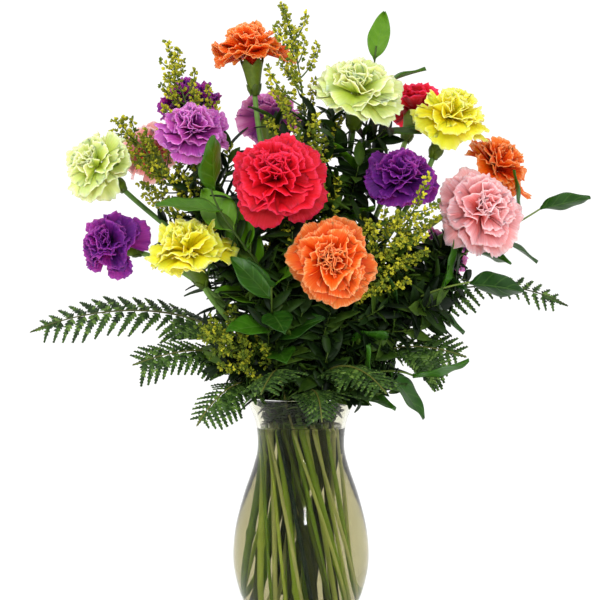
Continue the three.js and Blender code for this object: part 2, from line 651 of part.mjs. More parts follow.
// ---------------------------------------------------------------- fern
const RIB_HALF = 1.2;
const RIB_CORNERS = [
  [RIB_HALF, BLADE / 2], [RIB_HALF, -BLADE / 2], [0, -1.5 * RIB_HALF],
  [-RIB_HALF, -BLADE / 2], [-RIB_HALF, BLADE / 2],
];
const RIB_EDGES = [0, 3]; // the sides that leaflets grow from
const CUT_PAIRS = 2; // the lowest pairs have cut leaflets
const LEAFLET_HALF_WIDTH = 0.36; // a share of the distance between two leaflets
const LEAFLET_DROOP = 0.18; // a share of its length
const LEAFLET_LEAN = 0.6; // how much it leans towards the frond's tip
// A leaflet's outline from its root to its tip and back: [share of length, share of half width].
const CUT_LEAFLET = [[0.3, 1], [0.42, 0.55], [0.62, 0.9], [1, 0.1], [0.55, -0.85], [0.36, -0.5], [0.24, -1]];
const PLAIN_LEAFLET = [[0.38, 0.85], [1, 0.1], [0.3, -0.85]];

// Rings of a rib that rolls over, above the water, until its face is turned to the viewer.
function fernRings(fern, steps) {
  const towards = -Math.sign(levelSide(fern).y) * THREE.MathUtils.degToRad(fern.roll);
  const stations = stemStations(fern, RIB_CORNERS, steps);
  steps.forEach((t, k) => {
    const angle = towards * THREE.MathUtils.clamp((t - 0.15) / 0.35, 0, 1);
    const [c, d] = [Math.cos(angle), Math.sin(angle)];
    stations[k + 1].corners = RIB_CORNERS.map(([s, u]) => [s * c + u * d, u * c - s * d]);
  });
  return ringsAlong(stations, levelSide(fern));
}

// A frond: a rib with a leaflet on either side between each two of its rings.
function fernFrond(fern) {
  const leafyFrom = 1 - Math.min(0.8, (fern.leafy / fern.start.distanceTo(fern.end)) * 0.92);
  const bare = evenly(fern.steps).filter((t) => t < leafyFrom - 0.03);
  const step = (0.97 - leafyFrom) / fern.pairs;
  const ribs = Array.from({ length: fern.pairs + 1 }, (_, k) => leafyFrom + step * k);
  const rings = fernRings(fern, [...bare, ...ribs]);
  const firstRib = rings.length - ribs.length;
  rings.push([fern.path(1)]);
  const isEdge = (i, k) => i >= firstRib && i < firstRib + fern.pairs && RIB_EDGES.includes(k);
  const skin = loftSkin(rings, isEdge);
  rings.forEach((_, i) => {
    for (const k of RIB_EDGES) if (isEdge(i, k)) addLeaflet(fern, skin, i, k, i - firstRib);
  });
  return solidOfSkin(skin);
}

// Grows a leaflet out of the rib's edge. It is shortened until it is clear, or left out.
function addLeaflet(fern, skin, i, k, order) {
  const ring = (step) => skin.first[i + step];
  const root = [ring(0) + k, ring(0) + k + 1, ring(1) + k, ring(1) + k + 1];
  const [near, under, far] = root.map((q) => skin.corners[q]);
  const along = far.clone().sub(near);
  const spacing = along.length();
  along.normalize();
  const isRight = k === RIB_EDGES[0];
  const lift = near.clone().sub(under).normalize().multiplyScalar(isRight ? 1 : -1);
  const out = squareTo(skin.corners[ring(0)].clone().sub(skin.corners[ring(0) + 4]), along);
  if (!isRight) out.negate();
  const middle = middleOf(skin, root);
  const axis = out.clone().addScaledVector(along, LEAFLET_LEAN).addScaledVector(lift, -0.14).normalize();
  const width = squareTo(along, axis);
  const done = 1 - (order + 0.6) / (fern.pairs + 0.6);
  const taper = Math.sin(Math.PI * 0.52 * Math.pow(done, 0.75) + 0.08);
  const outline = order < CUT_PAIRS ? CUT_LEAFLET : PLAIN_LEAFLET;
  for (const cut of [1, 0.75, 0.5]) {
    const length = fern.leaflet * taper * cut;
    const shape = {
      outline: outline.map(([s, w]) => middle.clone()
        .addScaledVector(axis, length * s)
        .addScaledVector(width, -w * spacing * LEAFLET_HALF_WIDTH)
        .addScaledVector(lift, -length * LEAFLET_DROOP * s * s)),
      half: lift.clone().multiplyScalar((isRight ? BLADE : -BLADE) / 2),
      faces: zigzag(outline.length + 2),
    };
    if (!isClear(bladeAlone(skin, root, shape))) continue;
    graft(skin, root, shape);
    return;
  }
  skin.triangles.push([root[0], root[1], root[2]], [root[2], root[1], root[3]]);
}

// Splits a narrow outline of n points into triangles that zigzag from its root to its tip.
function zigzag(n) {
  return Array.from({ length: n - 2 }, (_, m) => {
    const left = Math.floor((m + 1) / 2);
    const right = n - 1 - Math.floor(m / 2);
    return m % 2 === 0 ? [left, left + 1, right] : [left, right - 1, right];
  });
}

// ---------------------------------------------------------------- broad-leaved sprigs
// A leaf's outline and its midrib: [share of length, share of half width].
const LEAF_OUTLINE = [[0.28, -0.95], [0.66, -0.8], [1, 0], [0.66, 0.8], [0.28, 0.95]];
const LEAF_MIDRIB = [[0.28, 0], [0.66, 0]];
const LEAF_HALF_WIDTH = 0.27; // these three are shares of its length
const LEAF_ARCH = 0.16;
const LEAF_FOLD = 0.06;
const LEAF_FACES = [
  [0, 1, 7], [0, 7, 6], [6, 7, 5], [1, 2, 8], [1, 8, 7], [7, 8, 4], [7, 4, 5], [2, 3, 8], [8, 3, 4],
];

// A leaf that arches over and is folded along its midrib.
function leafShape(root, axis, side, length) {
  const lift = side.clone().cross(axis).normalize().negate();
  const at = ([s, w]) => root.clone()
    .addScaledVector(axis, length * s)
    .addScaledVector(side, length * LEAF_HALF_WIDTH * w)
    .addScaledVector(lift, length * (LEAF_FOLD * Math.abs(w) - LEAF_ARCH * s * s));
  return {
    outline: LEAF_OUTLINE.map(at),
    inner: LEAF_MIDRIB.map(at),
    half: lift.clone().multiplyScalar(BLADE / 2),
    faces: LEAF_FACES,
  };
}

// A sprig: each leaf grows out of a thin band round the stem.
function leafySprig(sprig) {
  const leafyFrom = 1 - Math.min(0.85, sprig.leafy / sprig.start.distanceTo(sprig.end));
  const step = (0.96 - leafyFrom) / (sprig.leaves - 1);
  const band = BLADE / sprig.start.distanceTo(sprig.end);
  const nodes = Array.from({ length: sprig.leaves }, (_, k) => leafyFrom + step * k);
  const bare = evenly(sprig.steps).filter((t) => t < leafyFrom - 0.03);
  const rings = stemRings(sprig, sprig.section, [...bare, ...nodes.flatMap((t) => [t, t + band])]);
  rings.push([sprig.path(1)]);
  const firstNode = bare.length + 1;
  const isBand = (i) => i >= firstNode && i < rings.length - 2 && (i - firstNode) % 2 === 0;
  const skin = loftSkin(rings, isBand);
  const leaves = [];
  nodes.forEach((t, order) => {
    const i = firstNode + 2 * order;
    const chosen = addLeaf(sprig, skin, i, t, order, leaves);
    for (let k = 0; k < STEM_SIDES; k++) if (k !== chosen) bareQuad(skin, quadAt(skin, i, k));
  });
  return solidOfSkin(skin);
}

// Grows a leaf from the side of the stem where there is room for it, or leaves it out.
function addLeaf(sprig, skin, i, t, order, siblings) {
  const along = heading(sprig.path, t);
  const centre = sprig.path(t);
  const isLast = order === sprig.leaves - 1;
  for (const length of [sprig.leaf, sprig.leaf * 0.75, sprig.leaf * 0.55])
    for (const open of [0.75, 0.45, 0.2])
      for (let turn = 0; turn < STEM_SIDES; turn++) {
        const k = (2 * order + turn) % STEM_SIDES;
        const root = quadAt(skin, i, k);
        const place = middleOf(skin, root);
        const out = squareTo(place.clone().sub(centre), along);
        const lean = isLast ? open * 0.4 : open;
        const axis = out.clone().multiplyScalar(lean).addScaledVector(along, 1 - lean * 0.6).normalize();
        const side = along.clone().cross(out);
        const shape = leafShape(place, axis, side, length);
        const leaf = bladeAlone(skin, root, shape);
        if (!isClear(leaf, siblings)) continue;
        siblings.push(withBox("leaf", leaf));
        graft(skin, root, shape);
        return k;
      }
  return -1;
}

// ---------------------------------------------------------------- assembly
for (const flower of CARNATIONS) {
  flower.aim = unit(flower.aim);
  flower.size = flower.radius / USUAL_HEAD;
  flower.base = vec(...flower.at).addScaledVector(flower.aim, -HEAD_DEPTH * flower.radius);
  const end = flower.base.clone().addScaledVector(flower.aim, -CALYX_LENGTH * flower.size);
  flower.stem = { name: flower.name, end, aim: flower.aim, ...STEMS.carnation };
}
const asStem = (row, kind) => Object.assign(row, { end: vec(...row.tip), aim: unit(row.aim), ...kind });
GOLDENRODS.forEach((row) => asStem(row, STEMS.goldenrod));
FERNS.forEach((row) => asStem(row, STEMS.fern));
SPRIGS.forEach((row) => asStem(row, STEMS.sprig));

const stems = [...CARNATIONS.map((flower) => flower.stem), ...SPRIGS, ...GOLDENRODS, ...FERNS];
giveSlots(stems);

// Heads and calyxes are in the way of the stems of others: a ball stands for each.
for (const { name, base, aim, radius, size } of CARNATIONS) {
  const ball = (height, reach) => {
    const { x, y, z } = base.clone().addScaledVector(aim, height);
    obstacles.push({ x, y, z, radius: reach, owner: name });
  };
  ball(0.35 * radius, 0.93 * radius);
  ball(-0.4 * CALYX_LENGTH * size, 0.45 * CALYX_LENGTH * size);
}
for (const stem of stems) {
  stem.section = stem.leaflet ? RIB_CORNERS : polygon(STEM_SIDES, stem.radius);
  stem.start = inVase(stem.slot, FREE_FROM);
  route(stem);
}

const vase = vaseGeometry();
addMesh("vase", vase, COLOURS.glass, CLEAR);
placed.push(withBox("vase", solidOf(vase)));

CARNATIONS.forEach((flower) => addSolid(`stem_${flower.name}`, carnationStem(flower), COLOURS.stem));
for (const flower of CARNATIONS) {
  const head = carnationHead(flower);
  const hue = COLOURS[flower.name.split("_")[0]];
  const mesh = addMesh(`petals_${flower.name}`, geometryOf(head), hue, { side: THREE.DoubleSide });
  mesh.position.copy(flower.base);
  mesh.quaternion.setFromUnitVectors(vec(0, 0, 1), flower.aim);
  mesh.updateMatrixWorld(true);
  placed.push(withBox(mesh.name, head.transform(mesh.matrixWorld.elements)));
}

// The bare stems of the greenery are in place before any leaf or twig is set.
const greenery = [...SPRIGS, ...GOLDENRODS, ...FERNS];
for (const stem of greenery) {
  const rings = stem.plume ? goldenrodRings(stem) : stemRings(stem, stem.section, evenly(stem.steps));
  stem.bare = withBox(stem.name, loft(rings));
  placed.push(stem.bare);
}
function grow(stem, make, colour) {
  placed.splice(placed.indexOf(stem.bare), 1);
  addSolid(stem.name, make(stem), colour);
}
SPRIGS.forEach((row) => grow(row, leafySprig, COLOURS.leaf));
FERNS.forEach((row) => grow(row, fernFrond, COLOURS.fern));
GOLDENRODS.forEach((row) => grow(row, goldenrodSpray, COLOURS.goldenrod));

const holes = wasm.Manifold.union(stems.map(holeInWater));
const water = solidOf(waterGeometry()).subtract(holes);
addMesh("water", geometryOf(water), COLOURS.water, CLEAR);

export default everything;
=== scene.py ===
# %% [markdown]
# # A bunch of carnations in a glass vase
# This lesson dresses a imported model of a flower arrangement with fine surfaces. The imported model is
# the frame: it says where every stem, head and leaf is. Each cell below makes one kind of piece
# with numpy, as a surface over two parameters, and lays it over the plain solid that it replaces.

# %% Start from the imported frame
import math
from collections import namedtuple

import bpy
import numpy as np
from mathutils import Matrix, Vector
from mathutils.bvhtree import BVHTree


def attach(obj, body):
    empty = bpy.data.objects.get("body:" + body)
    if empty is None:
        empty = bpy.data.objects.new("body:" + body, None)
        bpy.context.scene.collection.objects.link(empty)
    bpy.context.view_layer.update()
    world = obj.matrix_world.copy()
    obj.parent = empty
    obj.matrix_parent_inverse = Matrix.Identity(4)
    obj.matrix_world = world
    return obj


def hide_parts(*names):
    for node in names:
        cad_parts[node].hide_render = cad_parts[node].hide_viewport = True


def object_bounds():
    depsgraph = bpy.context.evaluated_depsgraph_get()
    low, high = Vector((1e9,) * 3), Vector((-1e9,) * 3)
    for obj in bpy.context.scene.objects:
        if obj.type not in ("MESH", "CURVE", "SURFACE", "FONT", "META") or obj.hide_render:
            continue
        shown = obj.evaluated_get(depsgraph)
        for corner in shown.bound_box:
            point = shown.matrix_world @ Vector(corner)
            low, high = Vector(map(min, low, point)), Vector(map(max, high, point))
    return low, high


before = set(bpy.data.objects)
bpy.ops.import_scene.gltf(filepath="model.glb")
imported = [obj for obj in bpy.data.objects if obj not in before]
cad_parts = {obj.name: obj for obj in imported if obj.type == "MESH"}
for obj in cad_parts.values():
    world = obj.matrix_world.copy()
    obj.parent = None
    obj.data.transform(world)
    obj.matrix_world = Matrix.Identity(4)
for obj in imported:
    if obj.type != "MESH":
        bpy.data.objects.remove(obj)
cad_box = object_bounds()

MM = 0.001  # shapes are worked out in millimetres, meshes are in metres
BOX = np.array(cad_box) / MM
print("nodes in the frame:", len(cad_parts), "bounds in mm:", BOX.round(1).tolist())

# %% [markdown]
# ## Numbers that every piece needs
# A direction has to be one unit long before anything is laid along it. Random draws have to come
# out the same in every run, so each piece seeds its own. Growth swells and tapers softly, which a
# cubic gives and a straight ramp doesn't.

# %% Helpers for numbers
def unit(v):
    """Each vector divided by its own length."""
    return v / np.maximum(np.linalg.norm(v, axis=-1, keepdims=True), 1e-9)


def dice(name):
    """A random generator seeded by a piece's name, so that every run gives the same numbers."""
    return np.random.default_rng([ord(letter) for letter in name])


def smooth(x):
    """Rises from 0 to 1 as 3x^2 - 2x^3 and stays level outside."""
    x = np.clip(x, 0, 1)
    return x * x * (3 - 2 * x)


def circle(count):
    """That many angles at even distances round a circle, in radians."""
    return np.arange(count) * 2 * math.pi / count


print("smooth at 0, 1/4, 1/2 and 1:", smooth(np.array([0, 0.25, 0.5, 1])))

# %% [markdown]
# ## Thin sheets
# Petals, leaves and the lobes of a fern are thin sheets: a grid of points for the middle of the
# wall, moved half the thickness to both sides and closed by a rim. A Solidify modifier could make
# one of them, but a bunch needs thousands. Here all copies are worked out at once, as one array,
# which is far quicker than an object, or a loop over points, for each.

# %% Sheets
def copies(faces, count, size):
    """The same faces for several shapes in a row, of size points each."""
    return (faces + np.arange(count)[:, None, None] * size).reshape(-1, faces.shape[-1])


class Shape:
    """Points, faces by their number of corners, a place on the surface (uv) and a tone from 0 to 1."""

    def __init__(self, points, faces, uv, tone):
        self.points = points.reshape(-1, 3)
        self.faces = faces
        self.uv = np.broadcast_to(uv, points.shape[:-1] + (2,)).reshape(-1, 2)
        self.tone = np.broadcast_to(tone, points.shape[:-1]).reshape(-1)


def sheets(middle, thickness, tone):
    """Closed thin sheets from their middle surfaces, an array of (sheet, row, column, xyz). The
    normal is the direction across times the direction along. uv is (across, along)."""
    count, rows, columns, _ = middle.shape
    normal = unit(np.cross(np.gradient(middle, axis=2), np.gradient(middle, axis=1)))
    walls = np.stack([middle + normal * thickness / 2, middle - normal * thickness / 2], axis=1)
    i = np.arange(rows * columns).reshape(rows, columns)
    top = np.stack([i[:-1, :-1], i[:-1, 1:], i[1:, 1:], i[1:, :-1]], -1).reshape(-1, 4)
    edge = np.concatenate([i[0, :-1], i[:-1, -1], i[-1, :0:-1], i[:0:-1, 0]])
    onward = np.roll(edge, -1)
    rim = np.stack([onward, edge, edge + i.size, onward + i.size], -1)
    quads = np.concatenate([top, top[:, ::-1] + i.size, rim])
    across, along = np.meshgrid(np.linspace(0, 1, columns), np.linspace(0, 1, rows))
    tone = np.asarray(tone).reshape(-1, 1, 1, 1)
    return Shape(walls, [copies(quads, count, 2 * i.size)], np.stack([across, along], -1), tone)


SQUARE = np.array([[[0, 0, 0], [1, 0, 0]], [[0, 1, 0], [1, 1, 0]]], float)
print("a square sheet is closed by", len(sheets(SQUARE[None], 0.1, 0.5).faces[0]), "faces")

# %% [markdown]
# ## Tubes
# Stems, buds and glass are tubes: rings of points, skinned and closed at both ends. A curve with a
# bevel has the same radius everywhere or needs a second curve for its taper. With rings, each can
# have its own radius and shape, and again one array holds all the tubes of a kind.

# %% Tubes
def tubes(rings, tone=0.5):
    """Closed tubes from their rings, an array of (tube, ring, point, xyz). The points of a ring run
    anticlockwise, seen from the tube's far end. uv is (around, along)."""
    count, rows, sides, _ = rings.shape
    i = np.arange(rows * sides).reshape(rows, sides)
    j = np.roll(i, -1, axis=1)
    quads = np.stack([i[:-1], j[:-1], j[1:], i[1:]], -1).reshape(-1, 4)
    ends = np.stack([i[0, ::-1], i[-1]])
    around, along = np.meshgrid(np.arange(sides) / sides, np.linspace(0, 1, rows))
    faces = [copies(quads, count, i.size), copies(ends, count, i.size)]
    return Shape(rings, faces, np.stack([around, along], -1), np.asarray(tone).reshape(-1, 1, 1))


three_rings = tubes(np.zeros((1, 3, 4, 3)))
print("three rings of four points are closed by", sum(map(len, three_rings.faces)), "faces")

# %% [markdown]
# ## One object from many shapes
# A head is some forty petals and a spray is thousands of buds, but each stands on one node of the
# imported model, so it becomes one object. Joining the arrays first and filling one mesh is much
# quicker than joining objects. Each shape keeps its own material, and every point keeps its
# place on its petal or leaf (uv) and the tone of that petal or leaf, which the materials read.

# %% A piece from its shapes
def piece(name, slot, shapes, finishes, *nodes):
    """One object that rides on the body and replaces nodes: shapes[k] has the material finishes[k].
    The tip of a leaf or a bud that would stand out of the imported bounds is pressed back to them."""
    starts = np.cumsum([0] + [len(s.points) for s in shapes])
    sets = [f + start for s, start in zip(shapes, starts) for f in s.faces]
    finish_of_set = [k for k, s in enumerate(shapes) for _ in s.faces]
    corners = np.concatenate([f.ravel() for f in sets])
    totals = np.concatenate([np.full(len(f), f.shape[1]) for f in sets])
    mesh = bpy.data.meshes.new(name)
    mesh.vertices.add(starts[-1])
    points = np.clip(np.concatenate([s.points for s in shapes]), BOX[0], BOX[1])
    mesh.vertices.foreach_set("co", (points * MM).ravel())
    mesh.loops.add(len(corners))
    mesh.loops.foreach_set("vertex_index", corners)
    mesh.polygons.add(len(totals))
    mesh.polygons.foreach_set("loop_start", np.concatenate([[0], np.cumsum(totals)[:-1]]))
    slots = np.concatenate([np.full(len(f), k) for f, k in zip(sets, finish_of_set)])
    mesh.polygons.foreach_set("material_index", slots)
    mesh.update(calc_edges=True)
    mesh.shade_smooth()
    uv = np.concatenate([s.uv for s in shapes])
    mesh.uv_layers.new(name="surface").data.foreach_set("uv", uv[corners].ravel())
    tone = mesh.attributes.new("tone", "FLOAT", "POINT")
    tone.data.foreach_set("value", np.concatenate([s.tone for s in shapes]).astype(np.float32))
    for finish in finishes:
        mesh.materials.append(finish)
    made = bpy.data.objects.new(name, mesh)
    bpy.context.scene.collection.objects.link(made)
    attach(made, "root")
    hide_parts(*nodes)
    return made


def triangles(*pieces):
    """How many triangles some objects have together."""
    return sum(len(p.vertices) - 2 for made in pieces for p in made.data.polygons)


print("every piece stays between", BOX[0].round(1), "and", BOX[1].round(1), "mm")

# %% [markdown]
# ## Materials from nodes
# Every finish starts from what the real thing is. Colours are given as they look on a screen
# (sRGB) and turned to the linear values that light is reckoned in. The nodes could be set up by
# hand in the shader editor, but one function that adds a node keeps a whole finish on one page.

# %% Helpers for materials
def linear(code):
    """An sRGB colour such as #AABBCC as linear red, green, blue and an alpha of 1."""
    s = np.array([int(code[k:k + 2], 16) / 255 for k in (1, 3, 5)])
    return (*np.where(s <= 0.04045, s / 12.92, ((s + 0.055) / 1.055) ** 2.4), 1.0)


def add(tree, kind, inputs=None, stops=(), **settings):
    """Adds a shader node with its settings. An input is a value, or the socket it is linked from.
    stops are a colour ramp's pairs of position and colour."""
    node = tree.nodes.new("ShaderNode" + kind)
    for key, value in settings.items():
        setattr(node, key, value)
    for key, value in (inputs or {}).items():
        if isinstance(value, bpy.types.NodeSocket):
            tree.links.new(value, node.inputs[key])
        else:
            node.inputs[key].default_value = value
    for _ in stops[2:]:
        node.color_ramp.elements.new(0.5)
    for k, (position, code) in enumerate(stops):
        node.color_ramp.elements[k].position = position
        node.color_ramp.elements[k].color = linear(code)
    return node


def shader_of(finish):
    """A material's Principled shader."""
    return finish.node_tree.nodes["Principled BSDF"]


def new_finish(name, **inputs):
    """A material with one Principled shader, whose inputs are set by their names."""
    finish = bpy.data.materials.new(name)
    finish.use_nodes = True
    for key, value in inputs.items():
        shader_of(finish).inputs[key.replace("_", " ")].default_value = value
    return finish


print("mid grey in linear light:", round(linear("#808080")[0], 3))

# %% [markdown]
# ### Carnation petals
# A petal is soft living tissue, a fifth of a millimetre thick. Light goes into it and glows in
# the folds, its face is matt, and fine veins run from the claw to the toothed edge. The colour
# changes along the petal: deep where it leaves the cup and palest at the very edge. The deep part
# is partly the petal's own colour and partly painted shade, for it lies down in the head. So the
# colour is a ramp over the petal's length, read from the uv, and not a flat colour. Subsurface
# scattering gives the glow, and a random tone for each petal keeps neighbours apart.

# %% Petal colours
# For each colour of flower: base, folds, body, near the edge, edge.
# The base and folds colours are deeper partly as painted shade, for that part of a petal lies down in the
# head.
PETAL_COLOURS = {
    "orange": ("#C42A00", "#DE3000", "#F04208", "#F4601E", "#F88A52"),
    "green": ("#B6CA34", "#C6D64C", "#D0DC70", "#DAE28E", "#E4E8AE"),
    "yellow": ("#FFDC00", "#FCDF08", "#FAE320", "#F8E83C", "#F4EC78"),
    "red": ("#980008", "#BC040E", "#D20A16", "#DC1226", "#E61E3E"),
    "pink": ("#E64C44", "#F26C68", "#F6888A", "#F8A0A4", "#FABCC0"),
    "purple": ("#280638", "#3A0850", "#4A0A62", "#5A1270", "#702684"),
    "lavender": ("#70186A", "#8C2480", "#A23494", "#B44CA6", "#CA72BC"),
}
COLOUR_PLACES = (0.12, 0.4, 0.7, 0.9, 1.0)  # how far along the petal each of them stands
print("colours of petals:", len(PETAL_COLOURS))

# %% Petal finishes
VEIN_PITCH = 0.8  # millimetres between a petal's veins
PETAL_WIDTH = 30  # millimetres across a petal at its edge
VEIN_BREAKS = 2.5  # how often a vein changes along the petal
MOTTLE = 0.5  # how far the noise moves a spot along its ramp of colours, from end to end
PALEST, TONE_RANGE = 0.75, 0.28  # a petal's brightness at tone 0, and what tone 1 adds


def petal_finish(colour):
    """Living petal tissue: matt, glowing, veined. The place on the ramp is the height on the petal
    plus the noise of the veins, and the tone of the petal sets how bright it is."""
    finish = new_finish(
        "petal_tissue_" + colour, Roughness=0.6, Subsurface_Weight=0.85, Subsurface_Scale=0.004,
        Subsurface_Radius=(1.0, 0.7, 0.6), Specular_IOR_Level=0.15)
    tree, shader = finish.node_tree, shader_of(finish)
    place = add(tree, "UVMap", uv_map="surface").outputs["UV"]
    parts = add(tree, "SeparateXYZ", {"Vector": place})
    veins_scale = (PETAL_WIDTH / VEIN_PITCH, VEIN_BREAKS, 1)
    stretched = add(tree, "Mapping", {"Vector": place, "Scale": veins_scale})
    veins = add(tree, "TexNoise", {"Vector": stretched.outputs[0], "Scale": 1.0, "Detail": 2.0})
    shift = add(tree, "Math", {0: veins.outputs["Fac"], 1: MOTTLE, 2: -MOTTLE / 2}, operation="MULTIPLY_ADD")
    height = add(tree, "Math", {0: parts.outputs["Y"], 1: shift.outputs[0]}, operation="ADD")
    colours = list(zip(COLOUR_PLACES, PETAL_COLOURS[colour]))
    ramp = add(tree, "ValToRGB", {"Fac": height.outputs[0]}, colours)
    tone = add(tree, "Attribute", attribute_name="tone").outputs["Fac"]
    value = add(tree, "Math", {0: tone, 1: TONE_RANGE, 2: PALEST}, operation="MULTIPLY_ADD")
    tinted = add(tree, "HueSaturation", {"Color": ramp.outputs[0], "Value": value.outputs[0]})
    tree.links.new(tinted.outputs[0], shader.inputs["Base Color"])
    relief = add(tree, "Bump", {"Height": veins.outputs["Fac"], "Strength": 0.35, "Distance": 0.4 * MM})
    tree.links.new(relief.outputs[0], shader.inputs["Normal"])
    return finish


PETALS = {colour: petal_finish(colour) for colour in PETAL_COLOURS}
print("petal finishes:", ", ".join(PETALS))

# %% [markdown]
# ### Greenery
# Carnation stems and their cups have a bluish bloom of wax over a yellow green. Fern is dark,
# leathery and half glossy. The goldenrod's buds are a dusty yellow green and no two are alike. An
# image would repeat from leaf to leaf, so one function makes them all from noise: a ramp of
# greens, chosen by the tone of each leaf and by a soft mottle a few millimetres across.

# %% Green finishes
def green_finish(name, stops, mottle, relief, **inputs):
    """Plant tissue in a ramp of greens. mottle is the size of its patches in millimetres, and
    relief is the strength of the same patches as bumps."""
    finish = new_finish(name, **inputs)
    tree, shader = finish.node_tree, shader_of(finish)
    spot = add(tree, "TexCoord").outputs["Object"]
    noise = add(tree, "TexNoise", {"Vector": spot, "Scale": 1 / (mottle * MM), "Detail": 3.0})
    patches = noise.outputs["Fac"]
    tone = add(tree, "Attribute", attribute_name="tone").outputs["Fac"]
    shift = add(tree, "Math", {0: patches, 1: MOTTLE, 2: -MOTTLE / 2}, operation="MULTIPLY_ADD")
    shade = add(tree, "Math", {0: tone, 1: shift.outputs[0]}, operation="ADD")
    colours = list(zip(np.linspace(0.05, 0.95, len(stops)), stops))
    ramp = add(tree, "ValToRGB", {"Fac": shade.outputs[0]}, colours)
    tree.links.new(ramp.outputs[0], shader.inputs["Base Color"])
    grain = add(tree, "Bump", {"Height": patches, "Strength": relief, "Distance": 0.4 * MM})
    tree.links.new(grain.outputs[0], shader.inputs["Normal"])
    return finish


CUP_GREEN = green_finish(
    "waxy_calyx", ("#2C3E08", "#52680F", "#74891F"), 3.0, 0.25, Roughness=0.5, Specular_IOR_Level=0.35)
FERN_GREEN = green_finish(
    "leathery_fern", ("#10200A", "#264014", "#446224", "#6E883C"), 5.0, 0.5,
    Roughness=0.45, Specular_IOR_Level=0.22)
# The small leaves' greens run down to near black: partly their own dark green, and partly painted shade for
# the heart of the bunch and the neck of the vase.
SPRAY_GREEN_AND_SHADE = green_finish(
    "goldenrod_leaf", ("#081406", "#14260A", "#263E0E", "#465E1A"), 6.0, 0.4,
    Roughness=0.5, Specular_IOR_Level=0.12)
BUD_GREEN = green_finish(
    "goldenrod_buds", ("#465A10", "#6A7616", "#94941E", "#C2BE30"), 3.0, 0.3,
    Roughness=0.6, Specular_IOR_Level=0.2)
print("green finishes:", CUP_GREEN.name, FERN_GREEN.name, SPRAY_GREEN_AND_SHADE.name, BUD_GREEN.name)

# %% [markdown]
# ### Stems
# Above the water a stem is the waxy green of its plant. Below it, florists strip the leaves and
# scrape the skin, and each stem has its own pale or dark colour. These colours are also painted
# lighter, as painted light that makes up for the light which glass and water take from the stems.
# Two objects would show a seam at the water line, so one finish changes from one ramp to the
# other within a centimetre of height.

# %% Stem finishes
# Below the water line: each stem's own colour, painted lighter as painted light for the light that glass and
# water take away.
WET_STEMS_PAINTED_LIGHTER = ("#24403C", "#4E5A2A", "#86B23A", "#C0E65A", "#E4FA84", "#F6FEBE")  # below the water line
WATER_LINE = (0.172, 0.182)  # heights in metres between which the colour changes


def stem_finish(name, stops):
    """A stem in a ramp of greens, and below the water line in WET_STEMS_PAINTED_LIGHTER, by its tone."""
    finish = green_finish(name, stops, 9.0, 0.25, Roughness=0.5, Specular_IOR_Level=0.3)
    tree, shader = finish.node_tree, shader_of(finish)
    dry = shader.inputs["Base Color"].links[0].from_socket
    tone = add(tree, "Attribute", attribute_name="tone").outputs["Fac"]
    colours = list(zip(np.linspace(0.1, 0.9, len(WET_STEMS_PAINTED_LIGHTER)), WET_STEMS_PAINTED_LIGHTER))
    # The ramp below the water line, painted lighter as painted light.
    wet = add(tree, "ValToRGB", {"Fac": tone}, colours)
    spot = add(tree, "TexCoord").outputs["Object"]
    height = add(tree, "SeparateXYZ", {"Vector": spot}).outputs["Z"]
    above = add(tree, "MapRange", {"Value": height, "From Min": WATER_LINE[0], "From Max": WATER_LINE[1]})
    mix = add(tree, "MixRGB", {"Fac": above.outputs[0], "Color1": wet.outputs[0], "Color2": dry})
    tree.links.new(mix.outputs[0], shader.inputs["Base Color"])
    return finish


STEM_GREEN = stem_finish("waxy_stem", ("#44662A", "#64883C", "#86A856"))
RIB_BROWN = stem_finish("fern_rib", ("#2A3010", "#444818", "#5E6026"))
TWIG_GREEN = stem_finish("goldenrod_twig", ("#2C4010", "#465A1A", "#667A2C"))
print("stem finishes:", STEM_GREEN.name, RIB_BROWN.name, TWIG_GREEN.name)

# %% [markdown]
# ### Broad leaves
# The broad leaves are glossy, with a paler midrib and side veins that slant towards the tip. The
# veins could be modelled, but they are finer than the blade's grid, so they are lines worked out
# from the uv: pale in the colour and sunk in the relief.

# %% Broad leaf finishes
SIDE_VEINS = 9  # of a leaf, on both sides together
SLANT = 0.55  # how far a side vein runs ahead on its way out
VEIN_COLOUR, VEIN_SHARE = "#5C8236", 0.28  # how much of that colour a vein shows
RIB_HALF = (0.01, 0.035)  # half the midrib's width, full and faded out, as shares of the leaf's


